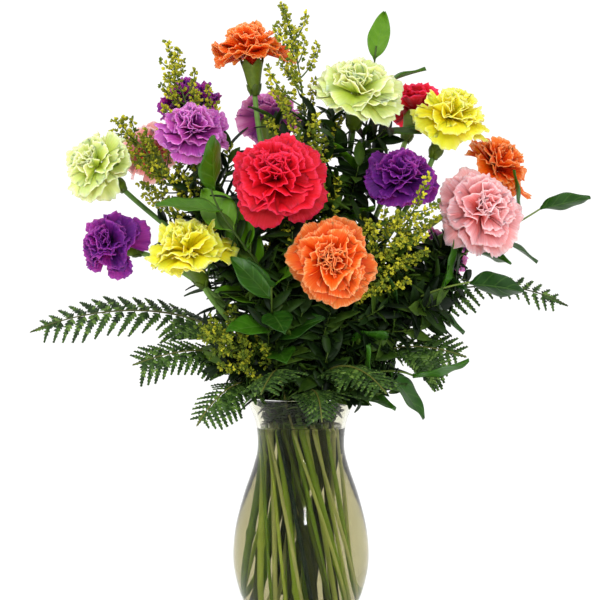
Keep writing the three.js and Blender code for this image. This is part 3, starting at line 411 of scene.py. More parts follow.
def leaf_finish(name, stops):
    """A glossy leaf with veins. off is the distance from the midrib, and a side vein is where
    (along - SLANT x off) x SIDE_VEINS comes near an even number."""
    finish = green_finish(name, stops, 6.0, 0.3, Roughness=0.38, Specular_IOR_Level=0.22)
    tree, shader = finish.node_tree, shader_of(finish)
    base = shader.inputs["Base Color"].links[0].from_socket
    place = add(tree, "UVMap", uv_map="surface").outputs["UV"]
    parts = add(tree, "SeparateXYZ", {"Vector": place})
    centred = add(tree, "Math", {0: parts.outputs["X"], 1: -0.5}, operation="ADD")
    off = add(tree, "Math", {0: centred.outputs[0]}, operation="ABSOLUTE").outputs[0]
    slanted = add(tree, "Math", {0: off, 1: -SLANT, 2: parts.outputs["Y"]}, operation="MULTIPLY_ADD")
    wave = add(tree, "Math", {0: slanted.outputs[0], 1: 1 / SIDE_VEINS}, operation="PINGPONG")
    side = add(tree, "MapRange", {
        "Value": wave.outputs[0], "From Min": 0.0, "From Max": 0.25 / SIDE_VEINS,
        "To Min": 0.6, "To Max": 0.0}, interpolation_type="SMOOTHSTEP")
    middle = add(tree, "MapRange", {
        "Value": off, "From Min": RIB_HALF[0], "From Max": RIB_HALF[1],
        "To Min": 1.0, "To Max": 0.0}, interpolation_type="SMOOTHSTEP")
    lines = add(tree, "Math", {0: side.outputs[0], 1: middle.outputs[0]}, operation="MAXIMUM").outputs[0]
    amount = add(tree, "Math", {0: lines, 1: VEIN_SHARE}, operation="MULTIPLY")
    mix = add(tree, "MixRGB", {"Fac": amount.outputs[0], "Color1": base, "Color2": linear(VEIN_COLOUR)})
    tree.links.new(mix.outputs[0], shader.inputs["Base Color"])
    relief = add(tree, "Bump", {"Height": lines, "Strength": 0.6, "Distance": 0.3 * MM}, invert=True)
    tree.links.new(relief.outputs[0], shader.inputs["Normal"])
    return finish


LEAF_DARK = leaf_finish("glossy_leaf", ("#12300A", "#234C0A", "#3A6C10"))
LEAF_BRIGHT = leaf_finish("glossy_leaf_bright", ("#2A4E02", "#3F6C04", "#5C8618"))
print("leaf finishes:", LEAF_DARK.name, LEAF_BRIGHT.name)

# %% [markdown]
# ### Glass and water
# The vase is pressed soda glass with a faint grey green cast. The water in it is a little cloudy
# and tea coloured from the stems, and its beige tint is partly painted shade: it darkens the white
# sky seen through the vase. Glass that stands against water hardly reflects, but the renderer
# meets each wall as if from air, so the reflections are dimmed, and both indices of refraction
# are a little lower than the real 1.5 and 1.33.

# %% Glass and water finishes
GLASS_CLEAR = new_finish(
    "soda_glass", Roughness=0.0, IOR=1.34, Transmission_Weight=1.0, Base_Color=linear("#E8E7DA"),
    Specular_Tint=linear("#8C8C8C"))
# Its beige base colour is partly painted shade: it dims the white sky seen through the water.
WATER_CLEAR = new_finish(
    "vase_water", Roughness=0.0, IOR=1.3, Transmission_Weight=1.0, Base_Color=linear("#CBC5A5"),
    Specular_Tint=linear("#5A5A5A"))
print("clear finishes:", GLASS_CLEAR.name, WATER_CLEAR.name)

# %% [markdown]
# ## Where everything is
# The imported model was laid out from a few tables: where each head is and which way it faces, and
# where each spray, frond and sprig ends. They are repeated here, in millimetres, because a mesh of
# triangles doesn't say which of them was a tip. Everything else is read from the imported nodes.

# %% The layout of the heads
HEADS = {  # middle of the head, the way it faces, its outer radius
    "orange_top": ((-40, 0, 482), (-0.08, -0.1, 1), 33),
    "green_top": ((44, -35, 446), (0.05, -0.75, 0.66), 38),
    "yellow_right": ((120, -5, 430), (0.35, -0.2, 0.9), 34),
    "red_back": ((96, 62, 437), (0.3, 0.45, 0.85), 30),
    "orange_right": ((162, 35, 389), (0.68, -0.15, 0.7), 33),
    "pink_right": ((142, -35, 353), (0.3, -0.9, 0.3), 36),
    "purple_mid": ((78, -45, 378), (0, -0.78, 0.62), 31),
    "purple_low": ((-155, -30, 326), (-0.8, -0.55, 0.25), 29),
    "green_left": ((-164, -10, 390), (-0.55, -0.6, 0.58), 32),
    "purple_top": ((-93, 45, 442), (-0.2, 0.3, 0.93), 30),
    "lavender_left": ((-86, -25, 414), (-0.1, -0.8, 0.6), 31),
    "red_centre": ((-17, -90, 376), (0, -0.96, 0.28), 40),
    "yellow_left": ((-87, -75, 322), (-0.25, -0.7, 0.67), 36),
    "orange_front": ((23, -110, 314), (0.05, -0.99, 0.12), 35),
    "lavender_back": ((-26, 60, 430), (0, 0.55, 0.83), 30),
    "pink_back": ((-129, 75, 402), (-0.5, 0.6, 0.62), 29),
    "lavender_low": ((123, 38, 320), (0.75, 0.35, 0.55), 24),
}
print(len(HEADS), "heads, the highest at", max(at[2] for at, _, _ in HEADS.values()), "mm")

# %% The layout of the greenery
GOLDENRODS = {  # tip, the way it points, length of the plume
    "goldenrod_top": ((-16, -30, 514), (-0.35, 0, 0.94), 110),
    "goldenrod_left_top": ((-107, 8, 486), (-0.25, 0, 0.97), 85),
    "goldenrod_centre": ((12, -48, 418), (0.1, -0.2, 0.97), 80),
    "goldenrod_front": ((96, -85, 378), (0.25, -0.3, 0.92), 90),
    "goldenrod_left": ((-150, 12, 424), (-0.75, 0, 0.66), 85),
    "goldenrod_low": ((-72, -92, 262), (-0.45, -0.8, 0.2), 70),
}
FERNS = {  # tip, the way it points, leafy length, pairs of leaflets, longest leaflet, roll
    "fern_far_left": ((-220, 20, 252), (-0.9, 0.05, -0.42), 170, 9, 38, 50),
    "fern_left": ((-132, -38, 230), (-0.92, -0.2, -0.34), 115, 8, 52, 45),
    "fern_front_left": ((-80, -74, 186), (-0.45, -0.3, -0.84), 95, 7, 42, 30),
    "fern_front_inner": ((-30, -112, 214), (-0.25, -0.75, -0.6), 100, 7, 46, -15),
    "fern_front": ((16, -84, 190), (0.1, -0.4, -0.9), 85, 6, 38, 0),
    "fern_front_right": ((64, -104, 214), (0.45, -0.7, -0.55), 105, 7, 46, 15),
    "fern_far_right": ((215, 8, 274), (0.85, 0, -0.5), 130, 8, 24, 50),
    "fern_right": ((130, -34, 236), (0.92, -0.2, -0.34), 110, 8, 50, 45),
    "fern_back_left": ((-84, 92, 318), (-0.6, 0.55, 0.5), 150, 8, 54, 0),
    "fern_back_right": ((86, 96, 312), (0.55, 0.6, 0.5), 150, 8, 54, 0),
}
SPRIGS = {  # tip, the way it points, leafy length, number of leaves, length of a leaf
    "sprig_left": ((-69, -92, 374), (-0.1, -0.2, 0.97), 110, 7, 50),
    "sprig_top": ((60, 2, 482), (0.1, 0, 1), 150, 7, 46),
    "sprig_far_right": ((200, 0, 358), (0.8, -0.1, 0.55), 110, 6, 42),
    "sprig_right": ((138, -42, 296), (0.93, -0.1, 0.1), 110, 6, 46),
    "sprig_centre": ((-22, -92, 298), (0.05, -0.6, 0.75), 75, 6, 44),
    "sprig_low": ((90, -50, 222), (0.8, -0.45, -0.35), 75, 5, 46),
}
print(len(GOLDENRODS), "goldenrods,", len(FERNS), "fronds and", len(SPRIGS), "sprigs")

# %% [markdown]
# ## The stems, found again
# In the vase all stems are straight and make a fan: they cross the neck each in its own slot, and
# are wider spread and turned the lower they are. So a packed stem's cut foot tells which slot is
# its own. The other way round, a slot tells where its stem is at any height. A slot as a complex
# number makes the spreading and turning one multiplication.

# %% The fan of stems in the vase
WAIST, FREE_FROM = 158, 186  # heights of the vase's neck and of where stems begin to bend
FAN_HEIGHT, FAN_SPREAD, FAN_TURN = 118, 1.6, math.radians(55)


def corners_of(node):
    """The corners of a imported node, in millimetres, each one once."""
    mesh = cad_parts[node].data
    points = np.empty(len(mesh.vertices) * 3)
    mesh.vertices.foreach_get("co", points)
    return np.unique(np.round(points.reshape(-1, 3) / MM, 2), axis=0)


def widening(z):
    """How much the bunch is spread and turned at a height, as a complex factor: 1 at the waist,
    going straight to FAN_SPREAD turned by FAN_TURN at FAN_HEIGHT below it."""
    share = (WAIST - np.asarray(z, float)) / FAN_HEIGHT
    return 1 + share * (FAN_SPREAD * np.exp(1j * FAN_TURN) - 1)


def in_vase(slot, z):
    """The point of a straight stem at a height: its slot times the widening there."""
    place = slot * widening(z)
    return np.stack([place.real, place.imag, np.broadcast_to(z, place.shape).astype(float)], -1)


print("the fan is spread by", round(abs(widening(WAIST - FAN_HEIGHT)), 2), "at the feet")

# %% [markdown]
# ### From the neck to the end
# Out of the vase a stem is a Bezier curve that rises on, bends and comes to its end the way that
# the end points. Where two would have crossed, the layout pushed one aside, and of all the bends
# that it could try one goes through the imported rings. A Bezier curve object would give the line,
# but not this search, so the curve is worked out as a formula.

# %% Kinds of stems
Kind = namedtuple("Kind", "radius lift sweep steps most_leafy leafy_share")
# lift is how far a stem keeps rising out of the vase, and sweep how far it comes in along its end's
# own direction, as a share of its length. It was packed in so many steps. leafy_share is the share
# of its leafy length that bears leaves, and no more than most_leafy of its whole run does.
CARNATION = Kind(radius=2.5, lift=0, sweep=0.3, steps=5, most_leafy=0, leafy_share=0)
GOLDENROD = Kind(radius=1.9, lift=0, sweep=0.35, steps=6, most_leafy=math.inf, leafy_share=0.9)
SPRIG = Kind(radius=1.8, lift=0, sweep=0.35, steps=6, most_leafy=0.85, leafy_share=1)
FERN = Kind(radius=1.4, lift=22, sweep=0.36, steps=10, most_leafy=0.8, leafy_share=0.92)
BARE_BELOW = 0.03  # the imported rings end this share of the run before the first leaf
RISES = 0.38  # how long a stem holds the direction that it had in the vase, as a share of its span
FOOT_RINGS = 3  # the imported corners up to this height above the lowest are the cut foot
BENDS = [(0, 0)] + [
    (size * math.cos(k * math.pi / 4), size * math.sin(k * math.pi / 4))
    for size in (5, 10, 15, 21, 28) for k in range(8)
]
print("bends to try for each stem:", len(BENDS))

# %% One stem's run
class Stem:
    """The run of one stem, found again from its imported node."""

    def __init__(self, node, end, aim, kind, leafy=0):
        self.kind = kind
        corners = corners_of(node)
        self.foot = corners[corners[:, 2] < corners[:, 2].min() + FOOT_RINGS].mean(0)
        slot = complex(self.foot[0], self.foot[1]) / widening(self.foot[2])
        self.end, self.aim = np.asarray(end, float), unit(np.asarray(aim, float))
        self.start = in_vase(slot, FREE_FROM)
        rise = unit(self.start - in_vase(slot, FREE_FROM - 10))
        self.span = np.linalg.norm(self.end - self.start)
        self.handles = [self.start, self.start + rise * (self.span * RISES + kind.lift),
                        self.end - self.aim * self.span * kind.sweep, self.end]
        self.leafy_from = 1 - min(kind.most_leafy, leafy / self.span * kind.leafy_share)
        self.knots = np.arange(kind.steps + 1) / kind.steps
        self.bare = self.knots[self.knots < self.leafy_from - BARE_BELOW]
        self.bend, self.miss = self.best_bend(corners)

    def at(self, t, bend=None):
        """A cubic Bezier curve, pushed sideways by the bend times 16 t^2 (1 - t)^2."""
        t = np.asarray(t, float)[..., None]
        a, b, c, d = self.handles
        line = (1 - t) ** 3 * a + 3 * t * (1 - t) ** 2 * b + 3 * t ** 2 * (1 - t) * c + t ** 3 * d
        push = 16 * t ** 2 * (1 - t) ** 2
        return line + push * np.append(self.bend if bend is None else bend, 0)

    def packed_at(self, t, bend=None):
        """The same run in the straight steps in which it was packed."""
        places = self.at(self.knots, bend)
        return np.stack([np.interp(t, self.knots, places[:, k]) for k in range(3)], -1)

    def best_bend(self, corners):
        """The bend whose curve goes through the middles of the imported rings, and by how much it
        misses them: the five corners nearest to a right place have their mean there."""
        rings = self.bare[1:] if len(self.bare) > 1 else [self.leafy_from]
        miss = []
        for bend in BENDS:
            places = self.packed_at(rings, bend)
            away = np.linalg.norm(corners - places[:, None], axis=-1)
            ring = corners[np.argsort(away, axis=1)[:, :5]].mean(axis=1)
            miss.append(np.linalg.norm(ring - places, axis=-1).mean())
        return np.array(BENDS[int(np.argmin(miss))]), min(miss)

    def heading(self, t):
        """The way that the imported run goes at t."""
        t = np.asarray(t, float)
        return unit(self.packed_at(np.minimum(1, t + 0.05)) - self.packed_at(np.maximum(0, t - 0.05)))

    def level_side(self):
        """Sideways and level, across the way that the stem leans out."""
        out = self.end - self.start
        return unit(np.array([out[1], -out[0], 0.0]))


trial = Stem("fern_front", *FERNS["fern_front"][:2], FERN, FERNS["fern_front"][2])
print("the stem of fern_front starts at", trial.start.round(), "and was bent aside by", trial.bend.round())

# %% [markdown]
# ### All stems
# A carnation's stem ends where its cup begins, which lies under the middle of its head by a part
# of the head's radius and the cup's own length. The others go to the tip of their spray, frond or
# sprig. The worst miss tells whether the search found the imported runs: it should be far less than
# a stem's width.

# %% All stems
HEAD_DEPTH = 0.42  # a head's middle is this share of its radius above its cup
USUAL_HEAD = 36
CUP_LENGTH = 27  # for a head of USUAL_HEAD, others are in proportion

stems = {}
for name, (at, aim, radius) in HEADS.items():
    aim = unit(np.asarray(aim, float))
    base = np.asarray(at, float) - aim * HEAD_DEPTH * radius
    end = base - aim * CUP_LENGTH * radius / USUAL_HEAD
    stems[name] = Stem("stem_" + name, end, aim, CARNATION)
    stems[name].base, stems[name].head = base, radius
for rows, kind in ((GOLDENRODS, GOLDENROD), (FERNS, FERN), (SPRIGS, SPRIG)):
    for name, (tip, aim, leafy, *_) in rows.items():
        stems[name] = Stem(name, tip, aim, kind, leafy)
print("stems found:", len(stems), "worst miss", round(max(s.miss for s in stems.values()), 2), "mm")

# %% [markdown]
# ## The vase
# A pressed glass vase is a body of revolution: one profile, up the outside, over the rounded lip
# and down the inside to the floor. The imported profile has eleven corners. A Screw modifier could
# turn it, but a smooth curve through the corners gives the glass its long S, and 96 sides make it
# round. The two ends of the profile come so near to the axis that a tiny disc closes each.

# %% Vase
OUTLINE = np.array([
    (32.5, 0), (35, 4), (42, 27), (50, 46.5), (54.6, 70), (52.8, 96),
    (46, 123), (38.5, 145), (34.8, 162), (37, 183), (45.6, 203)], float)  # radius and height
FOOT_RING = np.array([(25, 1.2), (28, 0), (31, 0), (32.2, 0.6)])  # what the vase stands on
GLASS, FLOOR, CORNER = 3.0, 8.0, 3.0  # wall, height of the floor, rounding between the two
ON_AXIS = 0.01


def smooth_line(knots, per_step=6):
    """A Catmull-Rom curve through points: between two of them a cubic whose slopes at both ends
    are half the way from the point before to the point after."""
    slopes = np.gradient(knots, axis=0)
    t = np.linspace(0, 1, per_step, endpoint=False)[:, None, None]
    a, b, ma, mb = knots[:-1], knots[1:], slopes[:-1], slopes[1:]
    spans = ((2 * t**3 - 3 * t**2 + 1) * a + (t**3 - 2 * t**2 + t) * ma
             + (3 * t**2 - 2 * t**3) * b + (t**3 - t**2) * mb)
    return np.vstack([spans.transpose(1, 0, 2).reshape(-1, 2), knots[-1:]])


def lathe(profile, sides=96):
    """A body of revolution: (radius cos a, radius sin a, height) for each point of the profile."""
    a = circle(sides)
    r, z = profile[:, :1], profile[:, 1:]
    return tubes(np.stack([r * np.cos(a), r * np.sin(a), z + 0 * a], -1)[None])


outside = smooth_line(OUTLINE)
inside = outside[outside[:, 1] > FLOOR + CORNER] - (GLASS, 0)
half_turn = np.linspace(0, math.pi, 9)[1:-1, None]
lip = outside[-1] - (GLASS / 2, 0) + GLASS / 2 * np.hstack([np.cos(half_turn), np.sin(half_turn) - 1])
quarter = np.linspace(0, math.pi / 2, 6)[:, None]
rounding = CORNER * np.hstack([np.cos(quarter), -np.sin(quarter)])
floor_edge = np.array([inside[0, 0] - CORNER, FLOOR + CORNER]) + rounding
glass_profile = np.vstack([
    [(ON_AXIS, FOOT_RING[0, 1])], FOOT_RING, outside[outside[:, 1] > 1],
    lip, inside[::-1], floor_edge, [(ON_AXIS, FLOOR)]])
vase = piece("vase_glass", "glass", [lathe(glass_profile)], [GLASS_CLEAR], "vase")
print("vase:", triangles(vase), "triangles,", round(2 * outside[:, 0].max(), 1), "mm wide")

# %% [markdown]
# ## The water
# Water fills the vase to a little above its waist and creeps up the glass at its edge. If it only
# touched the glass, the light would find a film of air between the two. So the water reaches a
# tenth of a millimetre into the wall. It is one more profile on the same lathe.

# %% Water
WATER_LEVEL = 178.0
EDGE_WIDE, EDGE_HIGH = 2.2, 1.4  # how far in and how high the water's curved edge goes
INTO_GLASS = 0.1

wetted = inside[inside[:, 1] < WATER_LEVEL] + (INTO_GLASS, 0)
bottom = floor_edge[::-1] + (INTO_GLASS, -INTO_GLASS)
inward = np.linspace(0, 1, 5)[:, None]
edge_radius = np.interp(WATER_LEVEL, inside[:, 1], inside[:, 0]) + INTO_GLASS
meniscus = np.hstack([edge_radius - EDGE_WIDE * inward, WATER_LEVEL + EDGE_HIGH * (1 - inward) ** 2])
water_profile = np.vstack([
    [(ON_AXIS, FLOOR - INTO_GLASS)], bottom, wetted, meniscus, [(ON_AXIS, WATER_LEVEL)]])
water = piece("vase_water_body", "water", [lathe(water_profile)], [WATER_CLEAR], "water")
print("water:", triangles(water), "triangles")

# %% [markdown]
# ## Tubes that follow a line
# Stems, ribs and twigs are round tubes bent in space. If the rings were simply stood up anew at
# each point, the skin would twist where the line turns. So one sideways direction is carried on
# from ring to ring, as a plant's own fibres run. A curve with a round bevel does the same inside,
# but a tube made here can swell at its joints and go into one array with all the others.

# %% A tube along a line
def carried(side, alongs):
    """The sideways direction carried on from ring to ring, squared to the run each time, so that
    a tube's skin never twists."""
    sides = []
    for along in alongs:
        side = unit(side - along * side.dot(along))
        sides.append(side)
    return np.array(sides)


def tube_along(places, radii, side, count=10):
    """Rings of a round tube: place + radius x (side cos a + up sin a), up being along x side."""
    alongs = unit(np.gradient(places, axis=0))
    sides = carried(side, alongs)
    ups = np.cross(alongs, sides)
    a = circle(count)
    spokes = sides[:, None] * np.cos(a)[:, None] + ups[:, None] * np.sin(a)[:, None]
    return places[:, None] + spokes * np.broadcast_to(radii, len(places))[:, None, None]


def run_of(line):
    """How far each of a line's points is from its first, along the line."""
    return np.append(0, np.cumsum(np.linalg.norm(np.diff(line, axis=0), axis=1)))


def stem_places(stem, rows=44):
    """Points along a stem, from its cut foot straight through the vase and then along its curve,
    and the distance of each from the foot."""
    straight = stem.foot + (stem.start - stem.foot) * np.linspace(0, 1, 16)[:-1, None]
    places = np.vstack([straight, stem.at(np.linspace(0, 1, rows))])
    return places, run_of(places)


print("longest stem:", round(max(stem_places(stem)[1][-1] for stem in stems.values())), "mm")

# %% [markdown]
# ## Carnation cups
# At the top of a carnation's stem sits the calyx, a green cup that ends in five teeth and holds
# all the petals. It could be cut out of a cone, but as a tube it needs no cutting: its rings go up
# the outside, over the rim and a little way down the inside, and a wave round the cup moves the
# upper rings up into teeth.

# %% Cups
CUP_SHARE = (0.0, 0.14, 0.32, 0.7, 1.0)  # places along the cup
CUP_RADIUS = (3.4, 5.2, 5.6, 7.6, 9.6)  # and its radius there, for a head of USUAL_HEAD
CUP_WALL = 0.8
CUP_TEETH, TEETH_FROM = 5, 0.6  # and the share of the cup's height where they begin
RIBS, RIB_RISE = 20, 0.15  # fine ribs round the cup


def turned_to(aim):
    """Three directions square to each other, the last along aim, as rows."""
    side = unit(np.cross((0.3, 1.0, 0.1), aim))
    return np.array([side, np.cross(aim, side), aim])


def cup(stem, random):
    """The calyx: rings of radius r(height), whose rim rises into five teeth. A tooth is a triangle
    wave round the cup, and it moves the upper rows up and a little out."""
    size = stem.head / USUAL_HEAD
    a = circle(2 * RIBS)
    tooth = 1 - np.abs(2 * np.mod(CUP_TEETH * a / (2 * math.pi), 1) - 1)
    share = np.concatenate([np.linspace(0, 1, 12), [1.0, 0.9, 0.78]])
    wall = np.concatenate([np.zeros(12), [CUP_WALL] * 3])
    high = np.clip(share - TEETH_FROM, 0, None)[:, None] / (1 - TEETH_FROM)
    height = CUP_LENGTH * (share[:, None] - 0.06 * high + 0.24 * high * tooth)
    radius = np.interp(share, CUP_SHARE, CUP_RADIUS)[:, None] - wall[:, None] + 1.2 * high**2 * tooth
    radius = radius + RIB_RISE * np.cos(RIBS * a)
    x, y, z = turned_to(stem.aim)
    spoke = x * np.cos(a)[:, None] + y * np.sin(a)[:, None]
    rings = stem.end + size * (radius[..., None] * spoke + height[..., None] * z)
    return tubes(rings[None], random.uniform(0.35, 0.65))


print("a cup of the usual size is", CUP_LENGTH, "mm long and", 2 * CUP_RADIUS[-1], "mm wide")

# %% [markdown]
# ### Scales
# Four small scales hug the base of the cup, two and two. Each is a pointed leaf shape that is bent
# round the cup. Modelled flat, they would need a Shrinkwrap modifier to lie on the cup. Worked out
# as an angle and a height, they follow the cup's own radius and only stand off at their tips.

# %% Scales at a cup's base
SCALE_LENGTH, SCALE_HALF_ANGLE = 11, 0.75
SMALL_THICK = 0.5  # of a scale and of a leaf at a node


def scales(stem, random):
    """Four scales. A point is at the angle half x u round the cup and at a height that grows with
    s. half is a sine of s, and the distance from the axis is the cup's radius there and a bit."""
    size = stem.head / USUAL_HEAD
    s, u = np.linspace(0, 1, 7)[:, None], np.linspace(-1, 1, 5)
    half = SCALE_HALF_ANGLE * np.sin(math.pi * np.clip(0.12 + 0.88 * s, 0, 1) ** 0.9) ** 0.8
    a = circle(4)[:, None, None] + random.uniform(0, 6) + half * u
    height = size * (-1.5 + SCALE_LENGTH * s) + 0 * a
    radius = size * (np.interp(height / size / CUP_LENGTH, CUP_SHARE, CUP_RADIUS) + 0.5 + 0.5 * s)
    x, y, z = turned_to(stem.aim)
    spoke = x * np.cos(a)[..., None] + y * np.sin(a)[..., None]
    middle = stem.end + radius[..., None] * spoke + height[..., None] * z
    return sheets(middle[:, :, ::-1], SMALL_THICK, random.uniform(0.2, 0.6, 4))


print("four scales, each", SCALE_LENGTH, "mm long")

# %% [markdown]
# ### Clasping leaves
# Every 7 cm or so a carnation's stem swells into a node, and a pair of narrow leaves clasps it
# there. They are strips of three columns: the middle one stands off the stem a little more than
# the sides, which makes the blade hollow, and all curl away from the stem towards their tips.

# %% Leaves at the nodes
def clasping_leaves(runs, random):
    """A pair of narrow leaves at each node, given as a place and the direction along the stem:
    place + along x length s + out x lift(s, u) + across x half(s) u."""
    s, u = np.linspace(0, 1, 8)[:, None, None], np.linspace(-1, 1, 3)[None, :, None]
    half = 1.7 * np.sin(math.pi * (0.15 + 0.84 * s)) ** 0.7
    lift = 2.4 + 5.5 * s**2
    leaves = []
    for place, along in runs:
        x, y, z = turned_to(along)
        turn = random.uniform(0, 6)
        for flip in (0, math.pi):
            out = x * math.cos(turn + flip) + y * math.sin(turn + flip)
            length = random.uniform(12, 19)
            leaves.append(place + z * length * s + out * (lift - 0.4 * u * u) + np.cross(z, out) * half * u)
    return sheets(np.array(leaves)[:, :, ::-1], SMALL_THICK, random.uniform(0.2, 0.7, len(leaves)))


print("a leaf at a node is 12 to 19 mm long")

# %% [markdown]
# ## Carnation stems
# The stem is the tube with a radius that shrinks slowly upwards and swells at the nodes, as bell
# curves added to it. It has 110 rings, so that each swelling, a centimetre long, is met by two.
# Stem, leaves, scales and cup are one piece, as they are one piece of plant.

# %% Carnation stems
NODE_EVERY, NODE_SWELL, NODE_HALF = 68, 0.9, 2.6
STEM_RADIUS, STEM_TAPER = 2.45, 0.35
STEM_RINGS = 110
LEAVES_ABOVE = 215  # the leaves below the vase's lip were stripped off


def carnation_stem(name):
    """One flower's stem with its nodes, leaves, scales and cup."""
    stem, random = stems[name], dice("stem " + name)
    places, run = stem_places(stem)
    joints = np.arange(random.uniform(20, 50), run[-1] - 25, NODE_EVERY)
    along = np.linspace(0, run[-1], STEM_RINGS)
    dense = np.interp(along, run, np.arange(len(run)))
    fine = np.stack([np.interp(dense, np.arange(len(run)), places[:, k]) for k in range(3)], -1)
    swell = np.exp(-((along[:, None] - joints) / NODE_HALF) ** 2).sum(1)
    radii = STEM_RADIUS - STEM_TAPER * along / run[-1] + NODE_SWELL * swell
    body = tubes(tube_along(fine, radii, stem.level_side(), 12)[None], random.uniform(0.1, 1))
    shapes = [body, cup(stem, random), scales(stem, random)]
    finishes = [STEM_GREEN, CUP_GREEN, CUP_GREEN]
    rings = [int(np.argmin(np.abs(along - joint))) for joint in joints]
    runs = [(fine[k], unit(fine[k + 1] - fine[k])) for k in rings if fine[k, 2] > LEAVES_ABOVE]
    if runs:
        shapes.append(clasping_leaves(runs, random))
        finishes.append(STEM_GREEN)
    return piece("carnation_stem_" + name, "carnation_stem", shapes, finishes, "stem_" + name)


flower_stems = [carnation_stem(name) for name in HEADS]
print("carnation stems:", len(flower_stems), "with", triangles(*flower_stems), "triangles")

# %% [markdown]
# ## Carnation heads
# A florist's carnation has some forty petals. Each is a fan on a narrow claw. The outer ones bend
# flat outwards over the cup, the inner ones stand up, and all are ruffled, the more the nearer to
# the toothed edge. Petals are set out by the golden angle, as a plant does it, so that each falls
# into the gap between older ones. Cloth simulation could crumple real petals, but it gives another
# head for every change and takes long. Waves added to a bent fan give the same folds at once.

# %% How many petals, and which way a head nods
GOLDEN = math.pi * (3 - math.sqrt(5))
PETAL_COUNT = 38
FULLER = {  # heads with more petals than that
    "red_centre": 48, "orange_front": 48, "orange_top": 48, "pink_right": 48, "lavender_left": 48,
    "purple_mid": 48, "purple_low": 42, "red_back": 42,
}
NODS = {  # heads that face a little away from their own cup's axis
    "red_centre": (-0.08, -0.87, 0.48),
    "yellow_left": (-0.25, -0.45, 0.86),
    "lavender_left": (-0.1, -0.55, 0.83),
    "green_top": (0.05, -0.62, 0.78),
    "purple_mid": (0, -0.62, 0.78),
    "green_left": (-0.58, -0.66, 0.48),
    "purple_low": (-0.5, -0.82, 0.28),
    "yellow_right": (0.22, -0.45, 0.87),
}
print("petals in all:", sum(FULLER.get(name, PETAL_COUNT) for name in HEADS))

# %% [markdown]
# ### The flat petal
# Before it is bent, a petal is a fan: a claw that opens to a spread of some 35 degrees either side,
# with a rounded and finely toothed edge. A texture's alpha could cut the teeth, but cut paper has
# no thickness at its edge. Here the outermost rows reach a little further at each tooth.

# %% A petal's outline
ROWS, COLUMNS = 10, 23  # of points on a petal
PETAL_THICK = 0.35  # a little more than a real petal has, which keeps its two faces apart
EDGE_FROM = 0.75  # the share of a petal's length where its teeth begin


def petal_outline(s, u, reach, spread, random):
    """How far ahead of the claw and aside of the midline each point of a flat petal is. The
    distance is reach x s, less at the sides, and the angle is spread x u, less at the claw."""
    one = reach.shape
    teeth = 5 + 3 * random.random(one)
    saw = np.abs(np.mod(teeth * (u + 1) / 2 + random.random(one), 1) * 2 - 1)
    saw = saw * (0.6 + 0.4 * np.sin(5.1 * u + 6 * random.random(one)))
    edge = smooth((s - EDGE_FROM) / (1 - EDGE_FROM))
    length = reach * s * (1 - 0.14 * u**2) * (1 + 0.09 * (saw - 0.5) * edge)
    angle = spread * u * (0.35 + 0.65 * smooth(s / 0.3))
    return length * np.cos(angle), length * np.sin(angle)


print("points on a petal:", ROWS * COLUMNS)

# %% [markdown]
# ### The ruffles
# A petal grows faster at its edge than in its middle, so the edge has to fold. Three sizes of
# waves run across it: a few broad ones over its whole length, pleats that begin further out, and a
# fine frill at the very edge. A crease along the midline folds some petals in half.

# %% A petal's ruffles
# For each kind: how far its wave runs from the midline to a side, in radians, and how much further
# by chance, its height, what the head's middle adds to that, and the power of s by which it grows
# towards the edge. Heights are shares of the head's radius.
RUFFLES = ((2.0, 1.4, 0.11, 0.03, 0), (8, 5, 0.034, 0, 2), (15, 5, 0.014, 0, 3))


def petal_ruffles(s, u, f, random):
    """How far the petals are pushed off their curve: the sum of sin(run x u + phase) x height x
    s^power over the kinds of waves, and a fold that grows with |u|. f is 1 in the head's middle."""
    one = f.shape
    phases = 2 * math.pi * random.random((4,) + one)  # one more is drawn than there are kinds
    push = 0
    for (run, chance, height, inner, power), phase in zip(RUFFLES, phases):
        wave = np.sin((run + chance * random.random(one)) * u + phase)
        push = push + wave * (height + inner * f) * s**power
    return push + random.normal(0, 1, one) * (0.04 + 0.2 * f) * (np.abs(u) - 0.4)


print("kinds of ruffles:", len(RUFFLES))

# %% [markdown]
# ### All petals of a head
# One array holds every petal, so each line below bends them all at once. A petal's rows follow a
# curve whose slope opens outwards, and adding up the curve's small steps gives the place. What
# differs from petal to petal is drawn by chance around a value that changes from the outermost
# petal to the innermost.

